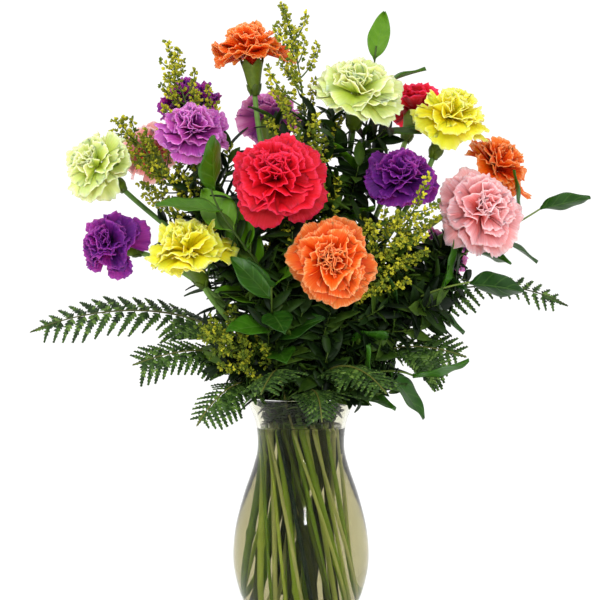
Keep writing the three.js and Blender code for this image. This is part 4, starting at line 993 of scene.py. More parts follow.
# %% The petals of a head
def carnation_petals(radius, count, random):
    """The middle surfaces of a head's petals, in a frame with +Z the way it faces and the cup's
    rim at the origin, as (petal, row, column, xyz). s runs along a petal, u across it. The blade's
    slope from upright is opening x smooth(s / 0.32) + curl x s^2, and the place is the running sum
    of its steps. The ruffles push the blade off that curve, and the whole blade is turned about
    its own midline by twist, the more the nearer to the head's middle."""
    f = (np.arange(count) / (count - 1))[:, None, None]  # 0 for the outermost petal, 1 for the innermost
    one = f.shape
    half_way = np.sin(math.pi * np.clip(f * 1.15, 0, 1))
    s = np.linspace(0.04, 1, ROWS)[None, :, None] ** 0.85
    u = np.linspace(-1, 1, COLUMNS)[None, None, :]
    turn = np.arange(count)[:, None, None] * GOLDEN + random.normal(0, 0.2, one)
    opening = np.radians(99 - 98 * f**1.1 + random.normal(0, 8, one))
    curl = np.radians(10 + 26 * half_way - 26 * f**3 + random.normal(0, 16, one))
    reach = radius * (0.93 - 0.31 * f**0.8 + random.normal(0, 0.06, one))
    spread = np.radians(37 - 7 * f + random.normal(0, 3, one))
    ahead, aside = petal_outline(s, u, reach, spread, random)
    slope = opening * smooth(ahead / reach / 0.32) + curl * (ahead / reach) ** 2
    step = np.diff(ahead, axis=1, prepend=0)
    out = radius * (0.17 - 0.15 * f) + np.cumsum(np.sin(slope) * step, axis=1)
    up = radius * (0.1 + 0.2 * f) + np.cumsum(np.cos(slope) * step, axis=1)
    push = radius * s**1.2 * petal_ruffles(s, u, f, random)
    twist = random.normal(0, 1, one) * (0.08 + 0.55 * f) * smooth(s / 0.5)
    aside, push = (aside * np.cos(twist) - push * np.sin(twist),
                   aside * np.sin(twist) + push * np.cos(twist))
    out, up = out - np.cos(slope) * push, up + np.sin(slope) * push
    radial = np.stack([np.cos(turn), np.sin(turn), 0 * turn], -1)
    across = np.stack([-np.sin(turn), np.cos(turn), 0 * turn], -1)
    return out[..., None] * radial + aside[..., None] * across + up[..., None] * np.array([0, 0, 1.0])


widths = np.ptp(carnation_petals(USUAL_HEAD, PETAL_COUNT, dice("trial"))[..., :2], axis=(0, 1, 2))
print("a head of the usual size spreads", widths.round(), "mm")

# %% [markdown]
# ### The heads
# A head is turned to face its way and set into its cup. Down in the cup the petals' claws stand so
# close that only a bundle can be seen, so a short tube in the petals' deep colour near the claw
# fills the cup. That deep colour is partly painted shade.

# %% Carnation heads
CLAW_HEIGHTS = (-7.8, -4, 0.5, 5, 9, 11)  # of the bundle of claws, from the cup's rim
CLAW_RADII = (0.1, 6.4, 7.0, 5.5, 3, 0.1)
# The claws take the colour near a petal's claw, which is partly painted shade.
CLAW_SHADE = 0.2  # the place on a petal whose colour the claws have


def carnation_head(name):
    """One flower's head: its petals, and the bundle of claws that fills the cup."""
    stem, random = stems[name], dice("head " + name)
    radius = stem.head
    count = FULLER.get(name, PETAL_COUNT)
    axes = turned_to(unit(np.array(NODS.get(name, stem.aim), float)))
    middle = carnation_petals(radius, count, random) @ axes + stem.base
    tone = 0.3 + 0.2 * np.arange(count) / count + random.uniform(-0.3, 0.4, count)
    petals = sheets(middle[:, :, ::-1], PETAL_THICK, np.clip(tone, 0, 1))
    size = radius / USUAL_HEAD
    places = stem.base + stem.aim * (np.array(CLAW_HEIGHTS) * size)[:, None]
    claws = tubes(tube_along(places, np.array(CLAW_RADII) * size, axes[0], 16)[None], 0.2)
    claws.uv = claws.uv * (1, 0) + (0, CLAW_SHADE)
    colour = name.split("_")[0]
    shapes, finishes = [petals, claws], [PETALS[colour]] * 2
    return piece("carnation_" + name, "petal_" + colour, shapes, finishes, "petals_" + name)


heads = [carnation_head(name) for name in HEADS]
print("heads:", len(heads), "with", triangles(*heads), "triangles")

# %% [markdown]
# ## Finding what a packed frond or sprig carries
# Where two leaves would have met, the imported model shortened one, moved it to another side of the
# stem, or left it out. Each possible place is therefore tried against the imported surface, and the
# one that lies in it is taken. A Shrinkwrap modifier would pull a leaf onto whatever is nearest,
# but this search keeps its form. A tree of the surface's faces makes it quick.

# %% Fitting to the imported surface
def surface_of(node):
    """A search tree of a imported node's surface, in millimetres."""
    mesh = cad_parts[node].data
    corners = [v.co / MM for v in mesh.vertices]
    return BVHTree.FromPolygons(corners, [tuple(p.vertices) for p in mesh.polygons])


def best_place(tree, tries, tolerance):
    """The number of the try, an array (try, point, xyz), whose points are nearest to the surface,
    or None if even that one is further off than the tolerance."""
    miss = [max(tree.find_nearest(point)[3] for point in points) for points in tries]
    best = int(np.argmin(miss))
    return best if miss[best] < tolerance else None


def packed_frames(stem, steps):
    """Places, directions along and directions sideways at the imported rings."""
    first = unit(stem.start - stem.foot)
    alongs = np.vstack([first, stem.heading(steps)])
    return stem.packed_at(steps), alongs[1:], carried(stem.level_side(), alongs)[1:]


def side_out(side, lift, k):
    """The way out of the middle of a five-sided stem's k-th side."""
    angle = -(k + 0.5) * 2 * math.pi / 5
    return side * math.cos(angle) + lift * math.sin(angle)


print("packed faces to search on a frond:", len(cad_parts["fern_front"].data.polygons))

# %% [markdown]
# ## Where small growth may stand
# The imported model leaves out the small growth between the leaves, and it is added here. It keeps
# clear of the blooms, because a florist turns a spray until its twigs stand beside and behind a
# bloom and not before its face. It keeps clear of the glass, and its dark leaves stay in the heart
# of the bunch, where their dark green is partly painted shade. Each rule is a test on an array of
# points, which is cheaper than looking for collisions between meshes.

# %% Clear of the blooms
BLOOM_PLACES = np.array([at for at, _, _ in HEADS.values()], float)
BLOOM_SIZES = np.array([radius for _, _, radius in HEADS.values()], float)
BLOOM_FACES = unit(np.array([aim for _, aim, _ in HEADS.values()], float))
FRONT = np.array([0.0, -1.0, 0.03])  # the side that the bunch is arranged to be seen from
FACING_FRONT = -0.5  # a bloom faces the front if the y of its facing is less
SIGHT = 140  # how far before a bloom it is kept clear
BLOOM_WIDE, BLOOM_DEEP = 0.92, 0.45  # its room beside and behind its middle, as shares of its radius
GAP = 1.5  # left free around blooms and above the vase's lip


def clear_of_blooms(points):
    """Which points are neither in a bloom nor before its face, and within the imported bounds. The
    room of a bloom is a tube along its facing, and along FRONT for those that face that way."""
    off = points[:, None] - BLOOM_PLACES
    clear = np.all((points > BOX[0] + 1) & (points < BOX[1] - 1), axis=1)
    for way in (BLOOM_FACES, np.where(BLOOM_FACES[:, 1:2] < FACING_FRONT, FRONT, BLOOM_FACES)):
        ahead = (off * way).sum(-1)
        aside = np.linalg.norm(off - way * ahead[..., None], axis=-1)
        beside = aside >= BLOOM_SIZES * BLOOM_WIDE + GAP
        clear &= (beside | (ahead <= -BLOOM_DEEP * BLOOM_SIZES) | (ahead >= SIGHT)).all(axis=1)
    return clear


print("room is kept before", int((BLOOM_FACES[:, 1] < FACING_FRONT).sum()), "blooms that face the front")

# %% Clear of the glass, and in the heart of the bunch
LIP = OUTLINE[-1, 1]
HEART, HEART_SIZE = np.array([8.0, 318]), np.array([130.0, 130])  # across and up
SPRAY_HEIGHT = 258  # of the foremost spray
FRONT_BELOW, FRONT_ABOVE = -52, -78  # how far forward the heart comes, below and above that


def off_wall(points):
    """How far points are outside the vase's outline, and less than 0 within it."""
    return np.linalg.norm(points[:, :2], axis=1) - np.interp(points[:, 2], OUTLINE[:, 1], OUTLINE[:, 0])


def clear_of_glass(roots, points):
    """Which points are not in or through the vase's wall: above its lip, or on the same side of
    the wall as the root of what they belong to. Within the vase they are also above the water."""
    high = LIP + GAP
    inside = (roots[:, 2] < high) & (off_wall(roots) < 0)
    beside = np.where(inside, off_wall(points) < -GLASS - 1, off_wall(points) > 1)
    wet = inside & (points[:, 2] < WATER_LEVEL + 2)
    return ((points[:, 2] > high) | beside) & ~wet


def in_heart(points):
    """Which points are in the leafy heart of the bunch, an ellipse as seen from the front, and not
    before the low fronds or the foremost spray."""
    within = (((points[:, ::2] - HEART) / HEART_SIZE) ** 2).sum(-1) < 1
    return within & (points[:, 1] > np.where(points[:, 2] > SPRAY_HEIGHT, FRONT_ABOVE, FRONT_BELOW))


print("the heart of the bunch is", 2 * HEART_SIZE, "mm across and up")

# %% [markdown]
# ## Stems of the greenery
# A spray's, sprig's or frond's own stem is a tube that tapers to its tip. What grows on it needs
# places at even distances and, at each of them, a direction along and one out of the stem.

# %% Stems of the greenery
def bare_stem(stem, radius, tip_radius, sides=8):
    """The round tube of a spray's, sprig's or frond's own stem, tapering to its tip."""
    places, run = stem_places(stem, 40)
    taper = smooth((run / run[-1] - 0.3) / 0.7)
    radii = radius + (tip_radius - radius) * taper
    tone = 0.5 + 0.4 * math.sin(stem.foot[0])
    return tubes(tube_along(places, radii, stem.level_side(), sides)[None], tone)


def spaced(line, count):
    """Points at even distances along a line of points."""
    run = run_of(line)
    where = np.linspace(0, run[-1], count)
    return np.stack([np.interp(where, run, line[:, k]) for k in range(3)], -1)


def around(line, turns):
    """Directions along a line of points, and out of it, turned by each given angle."""
    along = unit(np.gradient(line, axis=0))
    side = carried(unit(np.cross(along[0], (0.2, 1, 0.1))), along)
    turns = np.asarray(turns)[:, None]
    return along, side * np.cos(turns) + np.cross(along, side) * np.sin(turns)


print("points on one bare stem:", len(bare_stem(stems["sprig_top"], 1.7, 0.7).points))

# %% [markdown]
# ### Twigs
# A twig leaves its stem outwards and soon turns up along it, as it grows towards the light: a short
# curve with one knee. Twigs follow each other round a stem by the golden angle, here too, so that
# none shades the next. A tree generator would grow them by rules of its own, but here each twig
# has to end where the bunch still has room.

# %% Twigs
def arching(root, out, along, length, rows=10):
    """A twig: a quadratic Bezier curve that leaves the stem and then turns up along it."""
    t = np.linspace(0, 1, rows)[:, None]
    knee = root + (out * 0.45 + along * 0.25) * length
    tip = root + (out * 0.62 + along * 0.75) * length
    return (1 - t) ** 2 * root + 2 * t * (1 - t) * knee + t * t * tip


def between(stem, shares, lengths, random):
    """Twigs at shares of a stem's run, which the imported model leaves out: each is turned a golden
    angle on from the last. One that would stand before a bloom is left out."""
    places = stem.at(shares)
    along, out = around(places, np.arange(len(shares)) * GOLDEN + random.uniform(0, 6))
    lines = [arching(*row) for row in zip(places, out, along, lengths)]
    return [line for line in lines if clear_of_blooms(line[5:]).mean() > 0.6]


def rods(lines):
    """Thin tapering tubes along twigs."""
    radii = np.linspace(0.7, 0.3, len(lines[0]))
    sides = [unit(np.cross(line[1] - line[0], (0.1, 0.2, 1))) for line in lines]
    return tubes(np.array([tube_along(line, radii, side, 5) for line, side in zip(lines, sides)]))


TRIAL = arching(np.zeros(3), np.array([1.0, 0, 0]), np.array([0, 0, 1.0]), 50)
print("a twig of 50 mm runs", round(run_of(TRIAL)[-1]), "mm, to", TRIAL[-1].round(), "off its root")

# %% [markdown]
# ### Small pointed leaves
# Goldenrod and the leafy sprigs bear narrow pointed leaves all the way up. Each is a sheet of three
# columns that leans ahead and arches over. A few dozen faces are enough for one, because there are
# thousands, and together they make the dark green between the blooms.

# %% Small pointed leaves
def lance_leaves(line, length, width, random, ahead=(0.4, 1.3), shares=(0.6, 1.2)):
    """Pointed leaves along a stem, one at each point of a line, out and ahead of it, arching over:
    place + axis x length s + across x width u sin(pi s) - up x arch s^2. width is half a leaf's."""
    along, out = around(line, np.arange(len(line)) * GOLDEN + random.uniform(0, 6))
    axis = unit(out + along * random.uniform(*ahead, (len(line), 1)))
    across = unit(np.cross(along, out))
    up = np.cross(axis, across)
    size = length * random.uniform(*shares, len(line))
    arch = random.uniform(0, 0.4, len(line))

    def midrib(share):
        """The point of each leaf's midrib at a share of its length."""
        return line + (axis * share - up * (arch * share**2)[:, None]) * size[:, None]

    tip = midrib(1.0)
    clear = clear_of_blooms(tip) & clear_of_blooms((line + tip) / 2)
    clear &= in_heart(tip) | (line[:, 2] < LIP)
    for share in (0.4, 0.7, 1.0):
        clear &= clear_of_glass(line, midrib(share))
    at = [v[clear][:, None, None] for v in (line, axis, across, up)]
    size, arch = size[clear][:, None, None, None], arch[clear][:, None, None, None]
    s, u = np.linspace(0, 1, 7)[:, None, None], np.linspace(-1, 1, 3)[:, None]
    half = width / length * np.sin(math.pi * (0.05 + 0.94 * s)) ** 0.8
    middle = at[0] + size * (at[1] * s + at[2] * half * u + at[3] * (0.04 * u**2 - arch * s**2))
    return sheets(middle, 0.35, random.uniform(0, 0.85, len(size)))


print("points on a small leaf:", 2 * 7 * 3)

# %% [markdown]
# ### Leaves in the neck, and leafy shoots
# The lowest leaves of every stem crowd in the neck of the vase, just above the water, and hide the
# crossing stems. Further up, short shoots leave the stem and bear the same leaves. They are what
# fills a bunch like this between the blooms.

# %% Leaves in the neck, and leafy shoots
NECK_LEAVES = 30  # along each stem, from the water to the lip


def neck_line(stem):
    """Points along a stem between the water line and the vase's lip, where its lowest leaves fill
    the neck."""
    places, _ = stem_places(stem)
    heights = np.linspace(WATER_LEVEL + 2.5, LIP, NECK_LEAVES)
    rising = places[:np.argmax(places[:, 2] > heights[-1]) + 1]
    return np.stack([np.interp(heights, rising[:, 2], rising[:, k]) for k in range(3)], -1)


def neck_leaves(stem, random):
    """A stem's lowest leaves, broader than the others, between the water and the lip."""
    return lance_leaves(neck_line(stem), 20, 4.6, random, (-0.3, 1.3), (0.35, 1.15))


def leafy_shoots(stem, shares, reach, leaf, random):
    """Leafy shoots at shares of a stem's run: their curves, and the leaves on them and on the
    stem between. leaf is the length and the half width of a leaf."""
    shoots = between(stem, shares, random.uniform(*reach, len(shares)), random)
    shoots = [line for line in shoots if in_heart(line[-1:])[0]]
    own = spaced(stem.at(np.linspace(0, shares[-1], 40)), len(shares) * 5)
    leaves = [lance_leaves(spaced(line[1:], 15), *leaf, random) for line in shoots]
    return shoots, leaves + [lance_leaves(own, *leaf, random), neck_leaves(stem, random)]


kept = len(neck_leaves(stems["fern_front"], dice("trial")).points) // (2 * 7 * 3)
print("leaves in the neck of the vase on one stem:", kept, "of", NECK_LEAVES)

# %% [markdown]
# ## Goldenrod
# A spray of goldenrod is a main stem with many short arching twigs, and every twig carries
# clusters of small buds, each 2 to 3 mm long. A particle system could scatter buds, but they don't
# keep to their clusters, and it is hard to keep them clear of the blooms. Here a bud is a tube of
# three rings of four points, because there are thousands.

# %% Buds
BUD_HEIGHTS = np.array([0, 0.5, 1.0])  # of its three rings, as shares of its length
BUD_SWELL = np.array([0.4, 1.0, 0.22])  # the radius of each, as a share of the greatest
BUD_HALF = 0.36  # the greatest radius as a share of the length


def buds(places, aims, lengths, tone, random):
    """Small closed buds: a radius that swells and closes again, along the aim of each."""
    a = circle(4)
    side = unit(np.cross(aims, unit(random.normal(size=aims.shape))))
    up = np.cross(aims, side)
    spokes = side[:, None, None] * np.cos(a)[:, None] + up[:, None, None] * np.sin(a)[:, None]
    middle = places[:, None] + aims[:, None] * (BUD_HEIGHTS * lengths[:, None])[..., None]
    rings = middle[:, :, None] + spokes * (BUD_HALF * lengths[:, None] * BUD_SWELL)[..., None, None]
    return tubes(rings, np.clip(random.normal(tone, 0.12), 0, 1))


print("faces on a bud:", (len(BUD_HEIGHTS) - 1) * 4 + 2)

# %% [markdown]
# ### Clusters
# Clusters sit round their twig in a spiral, and the buds of one spread like the fingers of a hand.
# Some clusters are riper and yellower than others, so the tone is drawn for a cluster and then
# only a little changed from bud to bud. Drawn for each bud alone, it would average out to one
# green when seen from a few steps off.

# %% Clusters of buds
CLUSTER = 7  # buds in a cluster


def bud_clusters(line, thickness, tone, random, all_stay):
    """Clusters of buds along a line of points: cluster k is turned by k golden angles, and its buds
    spread about the way out and ahead. thickness is how far off the line the clusters stand."""
    along, out = around(line, np.arange(len(line)) * GOLDEN)
    heart = line + out * (random.uniform(0.4, 1, len(line)) * thickness)[:, None]
    clear = clear_of_blooms(heart) | all_stay
    along, out, heart = along[clear], out[clear], heart[clear]
    aim = out[:, None] + 0.7 * along[:, None] + random.normal(0, 0.55, (len(heart), CLUSTER, 3))
    aim = unit(aim).reshape(-1, 3)
    spot = np.repeat(heart, CLUSTER, axis=0) + aim * random.uniform(0, 1.3, (len(aim), 1))
    length = random.uniform(1.9, 3.1, len(aim))
    tip = spot + aim * length[:, None]
    within = np.all((tip > BOX[0]) & (tip < BOX[1]), axis=1)
    # Each cluster's tone is drawn round its spray's, which is lower, as painted shade, for sprays in the
    # bunch's shade.
    ripe_and_shaded = np.repeat(random.normal(tone, 0.26, len(heart)), CLUSTER)
    return buds(spot[within], aim[within], length[within], ripe_and_shaded[within], random)


grown = bud_clusters(TRIAL, np.linspace(2.8, 0.9, len(TRIAL)), 0.5, dice("trial"), True)
print("buds on a twig with", len(TRIAL), "clusters, of those within the bounds:", len(grown.points) // 12)

# %% [markdown]
# ### The long twigs
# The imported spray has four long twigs, each on one of the five sides of its stem and in one of
# three lengths. Where they went decides the outline of the spray, so they are looked for first,
# and the many twigs between them only fill it.

# %% The four long twigs of a spray
LONG_TWIGS = 4
TWIG_RINGS = 2.6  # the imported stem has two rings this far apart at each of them


def packed_twigs(name, stem, plume):
    """The curves of a spray's four long twigs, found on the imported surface."""
    tree = surface_of(name)
    top = 1 - plume / stem.span * 0.33
    nodes = stem.leafy_from + (top - stem.leafy_from) * (np.arange(LONG_TWIGS) + 0.3) / LONG_TWIGS
    steps = np.append(stem.bare, np.repeat(nodes, 2))
    steps[len(stem.bare) + 1::2] += TWIG_RINGS / stem.span
    places, alongs, sides = packed_frames(stem, steps)
    lines = []
    for order in range(LONG_TWIGS):
        n = len(stem.bare) + 2 * order
        tries = []
        for size in (1, 0.75, 0.5):
            for turn in range(5):
                out = side_out(sides[n], np.cross(sides[n], alongs[n]), (2 * order + turn) % 5)
                length = size * plume * (0.45 - 0.04 * order)
                tries.append(arching((places[n] + places[n + 1]) / 2 + out * 1.6, out, alongs[n], length))
        best = best_place(tree, np.array(tries)[:, 4::2], 3.0)
        if best is not None:
            lines.append(tries[best])
    return lines


long_twigs = {name: packed_twigs(name, stems[name], row[2]) for name, row in GOLDENRODS.items()}
print("long twigs found:", {name: len(lines) for name, lines in long_twigs.items()})

# %% [markdown]
# ### The sprays
# Twigs carry buds from the plume's foot to the tip, and the crown is the stem's own end. Leafy
# shoots stand on the stem below the plume, and those that reach up between the blooms end in buds
# as well. Each spray is one piece with three greens: twig, bud and leaf.

# %% Goldenrod
SHOOTS = 18  # leafy shoots below the twigs of a spray
BUDDING_ABOVE = 320  # the height from which leafy shoots end in buds too
CLUSTER_EVERY = 1.9
# Tones of the buds below the usual 0.58 are painted shade for sprays that sit in the bunch's shade,
# goldenrod_low most of all.
TWIGS = {  # first twig and from twig to twig, as shares of the run, its length, tone of the buds
    "goldenrod_low": (0.25, 0.032, 0.8, 0.3),
    "goldenrod_centre": (0.42, 0.018, 0.6, 0.45),
    "goldenrod_front": (0.48, 0.016, 0.55, 0.55),
}


def goldenrod(name):
    """One spray: stem, twigs, clusters of buds on the twigs and the crown, and leafy shoots."""
    stem, random = stems[name], dice(name)
    plume = GOLDENRODS[name][2]
    first, gap, longest, tone = TWIGS.get(name, (stem.leafy_from - 0.12, 0.018, 0.55, 0.58))
    share = np.arange(first, 0.96, gap)
    size = plume * np.interp(share, (first, 0.96), (longest, 0.15)) * random.uniform(0.75, 1.2, len(share))
    twigs = long_twigs[name] + between(stem, share, size, random)
    shares = np.linspace(0.06, stem.leafy_from + 0.02, SHOOTS)
    shoots, leaves = leafy_shoots(stem, shares, (34, 60), (24, 3.4), random)
    crown = stem.at(np.linspace(1 - plume / stem.span * 0.5, 1, 12))
    budding = [line[4:] for line in shoots if line[-1, 2] > BUDDING_ABOVE]
    clusters = []
    for line in twigs + budding + [crown]:
        dots = spaced(line[2:], max(5, int(run_of(line)[-1] / CLUSTER_EVERY)))
        thickness = np.linspace(2.8, 0.9, len(dots))
        clusters.append(bud_clusters(dots, thickness, tone, random, line is crown))
    shapes = [bare_stem(stem, 1.7, 0.6), rods(twigs + shoots)] + clusters + leaves
    finishes = [TWIG_GREEN] * 2 + [BUD_GREEN] * len(clusters) + [SPRAY_GREEN_AND_SHADE] * len(leaves)
    return piece(name, "goldenrod", shapes, finishes, name)


sprays = [goldenrod(name) for name in GOLDENRODS]
print("goldenrods:", len(sprays), "with", triangles(*sprays), "triangles")

# %% [markdown]
# ## Fern
# Leatherleaf fern is a triangle of leathery leaflets on a wiry rib, and each leaflet is itself
# cut into toothed lobes that nearly touch and are joined by a narrow blade along its midrib. One
# flat leaf with a cut-out picture would do from afar, but it has no thickness and no relief. Here
# the leaflets are found first, and then all lobes of a frond are made as one array.

# %% One leaflet
DROOP = 0.18  # how far a leaflet's tip hangs, as a share of its length
Leaflet = namedtuple("Leaflet", "root axis width lift length")  # width and lift are directions


def rolled(sides, lifts, angle):
    """Two directions turned by an angle about the one that is square to both."""
    c, d = np.cos(angle)[:, None], np.sin(angle)[:, None]
    return sides * c - lifts * d, sides * d + lifts * c


def fitted_leaflet(tree, root, axis, width, lift, longest):
    """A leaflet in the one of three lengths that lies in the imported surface, or else a short one."""
    s = np.array([0.3, 0.55, 0.8])[:, None]
    lengths = longest * np.array([1, 0.75, 0.5])
    tries = [root + axis * length * s - lift * length * DROOP * s**2 for length in lengths]
    best = best_place(tree, tries, 1.5)
    length = lengths[best] if best is not None else 0.3 * lengths[0]
    return Leaflet(root, axis, width, lift, length)


print("the tip of a leaflet of 40 mm hangs", 40 * DROOP, "mm below its root's level")

# %% [markdown]
# ### Along the rib
# Leaflets stand in pairs, lean ahead and grow shorter towards the tip and a little towards the
# root. A hanging frond is rolled about its rib, so that its upper face is turned to the light.

# %% Where a frond's leaflets are
RIB_CORNERS = 1.2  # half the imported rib's width, where leaflets begin


def frond_leaflets(name, stem):
    """The leaflets of a frond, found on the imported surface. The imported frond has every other
    leaflet, so one more is put between each two of them. The last is the frond's own tip."""
    *_, pairs, longest, roll = FERNS[name]
    tree = surface_of(name)
    ribs = stem.leafy_from + (0.97 - stem.leafy_from) / pairs * np.arange(pairs + 1)
    steps = np.append(stem.bare, ribs)
    places, alongs, sides = packed_frames(stem, steps)
    full_roll = -np.sign(stem.level_side()[1]) * math.radians(roll)
    sides, lifts = rolled(sides, np.cross(sides, alongs), full_roll * np.clip((steps - 0.15) / 0.35, 0, 1))
    found = []
    for order in range(pairs):
        n = len(stem.bare) + order
        along = unit(places[n + 1] - places[n])
        done = 1 - (order + 0.6) / (pairs + 0.6)
        taper = math.sin(math.pi * 0.52 * done**0.75 + 0.08)
        for way in (1, -1):
            out = unit(sides[n] - along * sides[n].dot(along)) * way
            axis = unit(out + 0.6 * along - 0.14 * lifts[n])
            width = unit(along - axis * axis.dot(along))
            root = (places[n] + places[n + 1]) / 2 + sides[n] * way * RIB_CORNERS
            found.append(fitted_leaflet(tree, root, axis, width * way, lifts[n], longest * taper))
    added = [Leaflet(*((a + b) / 2 for a, b in zip(low, high))) for low, high in zip(found, found[2:])]
    end = places[-1] - places[-2]
    reach = np.linalg.norm(end) + 0.03 * stem.span
    return found + added + [Leaflet(places[-2], unit(end), sides[-1], lifts[-1] * 0, reach)]


leaflets = {name: frond_leaflets(name, stems[name]) for name in FERNS}
print("leaflets on each frond:", {name: len(found) for name, found in leaflets.items()})

# %% [markdown]
# ### Lobes and the blade between
# A lobe is a small sheet whose half width rises and falls along it, which gives the teeth. Its root
# is on the midrib and it leans ahead, more so towards the leaflet's tip, where it is also shorter.
# Under the lobes a narrow blade along the midrib joins them, so that no light comes through.

# %% The blade that joins the lobes
LOBE_TEETH = np.array([0.9, 1.0, 0.9, 0.88, 0.66, 0.2])  # half width from root to tip
LOBE_PITCH, LOBE_HALF = 2.5, 1.5  # millimetres from lobe to lobe, and half a lobe's width
FERN_THICK = 0.3


def lobe_reach(length, s):
    """How far a lobe reaches from the midrib at share s of a leaflet's length."""
    return 0.17 * length * (1 - s) ** 0.6 + 0.9


def laminas(leaflets):
    """The blades that join the lobes: narrow sheets along the midribs, 0.2 mm under the lobes,
    half as wide as a lobe reaches."""
    s, u = np.linspace(0, 0.98, 8)[:, None], np.linspace(-1, 1, 3)
    middle = []
    for root, axis, width, lift, length in leaflets:
        half = 0.5 * lobe_reach(length, s) * np.clip(8 * s + 0.3, 0, 1)
        line = root + (axis * s - lift * (DROOP * s**2)) * length - lift * 0.2
        middle.append(line[:, None] + width * (half * u)[..., None])
    return sheets(np.array(middle), FERN_THICK, 0.4)


print("a lobe at the root of a leaflet of 40 mm reaches", round(lobe_reach(40, 0.0), 1), "mm")

# %% [markdown]
# ### All lobes of a frond
# A small leaflet has four lobes on each side of its midrib and a long one twenty. First their roots
# and directions are collected as rows, and then one formula over a grid makes all the sheets.

# %% Lobes of a frond
def lobe_rows(leaflets, random):
    """Root, direction, way up and reach of the lobes on both sides of each leaflet's midrib."""
    rows = []
    for root, axis, width, lift, length in leaflets:
        count = max(4, int(length / LOBE_PITCH))
        s = (np.arange(count) + 0.2) / count
        for way in (1, -1):
            places = root + axis * (length * s)[:, None] - lift * (length * DROOP * s**2)[:, None]
            reach = lobe_reach(length, s) * random.uniform(0.85, 1.15, count)
            ahead = 0.55 + 1.8 * s[:, None] ** 2
            lean = unit(width * way + axis * ahead - lift * random.uniform(-0.1, 0.35, (count, 1)))
            up = np.tile(np.cross(axis, width) * way, (count, 1))
            rows.append(np.hstack([places, lean, up, reach[:, None]]))
    return np.vstack(rows)


def lobes(leaflets, random):
    """All lobes of a frond: root + lean x reach s + across x half(s) u, hollow between its sides
    and arching down towards the tip."""
    rows = lobe_rows(leaflets, random)
    root, lean, up = rows[:, :3], rows[:, 3:6], rows[:, 6:9]
    across = unit(np.cross(up, lean))
    over = np.cross(lean, across)
    s = np.linspace(0, 1, len(LOBE_TEETH))[:, None, None]
    u = np.linspace(-1, 1, 3)[:, None]
    at = [v[:, None, None] for v in (root, lean, across, over)]
    size = rows[:, 9][:, None, None, None]
    half = np.minimum(LOBE_HALF, 0.3 * size) * LOBE_TEETH[:, None, None]
    middle = at[0] + at[1] * size * s + at[2] * half * u + at[3] * (0.4 * u**2 - 0.1 * size * s**2)
    return sheets(middle, FERN_THICK, random.uniform(0.1, 0.85, len(rows)))


print("lobes on fern_front:", len(lobe_rows(leaflets["fern_front"], dice("trial"))))

# %% [markdown]
# ### The fronds
# A frond is its rib in brownish green, a thin rib along each leaflet, the blades, the lobes, and
# the leaves at the foot of its stem in the vase's neck.

# %% Fern
def leaflet_rib(leaflet):
    """Rings of the thin rib along a leaflet, from within the frond's own rib to its tip."""
    root, axis, width, lift, length = leaflet
    s = np.linspace(0, 1, 6)[:, None]
    places = root - axis * 1.5 + (axis * s - lift * DROOP * s**2) * length
    return tube_along(places, 0.45 - 0.3 * s[:, 0], width, 5)


def frond(name):
    """One frond: its rib, the leaflets' midribs and all their lobes."""
    stem, random = stems[name], dice(name)
    ribs = tubes(np.array([leaflet_rib(leaflet) for leaflet in leaflets[name]]))
    shapes = [bare_stem(stem, 1.3, 0.5), ribs, laminas(leaflets[name]), lobes(leaflets[name], random),
              neck_leaves(stem, random)]
    return piece(name, "fern", shapes, [RIB_BROWN] + [FERN_GREEN] * 4, name)


fronds = [frond(name) for name in FERNS]
print("fronds:", len(fronds), "with", triangles(*fronds), "triangles")

# %% [markdown]
# ## Broad-leaved sprigs
# These leaves are pointed ovals on a short stalk, folded a little along the midrib and arching
# over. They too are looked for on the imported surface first, in three lengths, three ways of
# opening and on five sides of the stem.

# %% Where a sprig's leaves are
LEAF_ARCH = 0.16  # how far a leaf's tip hangs, as a share of its length
NODE_RINGS = 0.9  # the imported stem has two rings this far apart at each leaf
Leaf = namedtuple("Leaf", "root axis side up length")


def leaf_places(name, stem):
    """A sprig's leaves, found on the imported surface. The last stands nearly upright at the tip."""
    *_, count, length = SPRIGS[name]
    tree = surface_of(name)
    nodes = stem.leafy_from + (0.96 - stem.leafy_from) / (count - 1) * np.arange(count)
    steps = np.append(stem.bare, np.repeat(nodes, 2))
    steps[len(stem.bare) + 1::2] += NODE_RINGS / stem.span
    places, alongs, sides = packed_frames(stem, steps)
    s = np.array([0.28, 0.66, 0.97])[:, None]
    found = []
    for order in range(count):
        n = len(stem.bare) + 2 * order
        along, lift = alongs[n], np.cross(sides[n], alongs[n])
        tries, leaves = [], []
        for size in (length, length * 0.75, length * 0.55):
            for opened in (0.75, 0.45, 0.2):
                for k in range(5):
                    lean = opened * (0.4 if order == count - 1 else 1)
                    out = side_out(sides[n], lift, k)
                    axis = unit(out * lean + along * (1 - lean * 0.6))
                    side = np.cross(along, out)
                    up = unit(np.cross(axis, side))
                    root = places[n] + out * stem.kind.radius * 0.8
                    tries.append(root + axis * size * s - up * size * LEAF_ARCH * s**2)
                    leaves.append(Leaf(root, axis, side, up, size))
        best = best_place(tree, tries, 2.5)
        if best is not None:
            found.append(leaves[best])
    return found


broad_leaves = {name: leaf_places(name, stems[name]) for name in SPRIGS}
print("leaves on each sprig:", {name: len(found) for name, found in broad_leaves.items()})

# %% [markdown]
# ### The blade
# The blade's half width is a sine of the way along, bent towards the stalk by a power, so that the
# leaf is widest below its middle. Its two halves rise from the midrib as an open book does, its
# arch falls with the square of the way along, and its margin waves a little.

# %% Blades
LEAF_HALF, LEAF_FOLD, LEAF_WAVE = 0.26, 0.06, 0.018  # shares of a leaf's length
STALK_HALF = 0.012  # the same for half the stalk's width
LEAF_THICK = 0.45


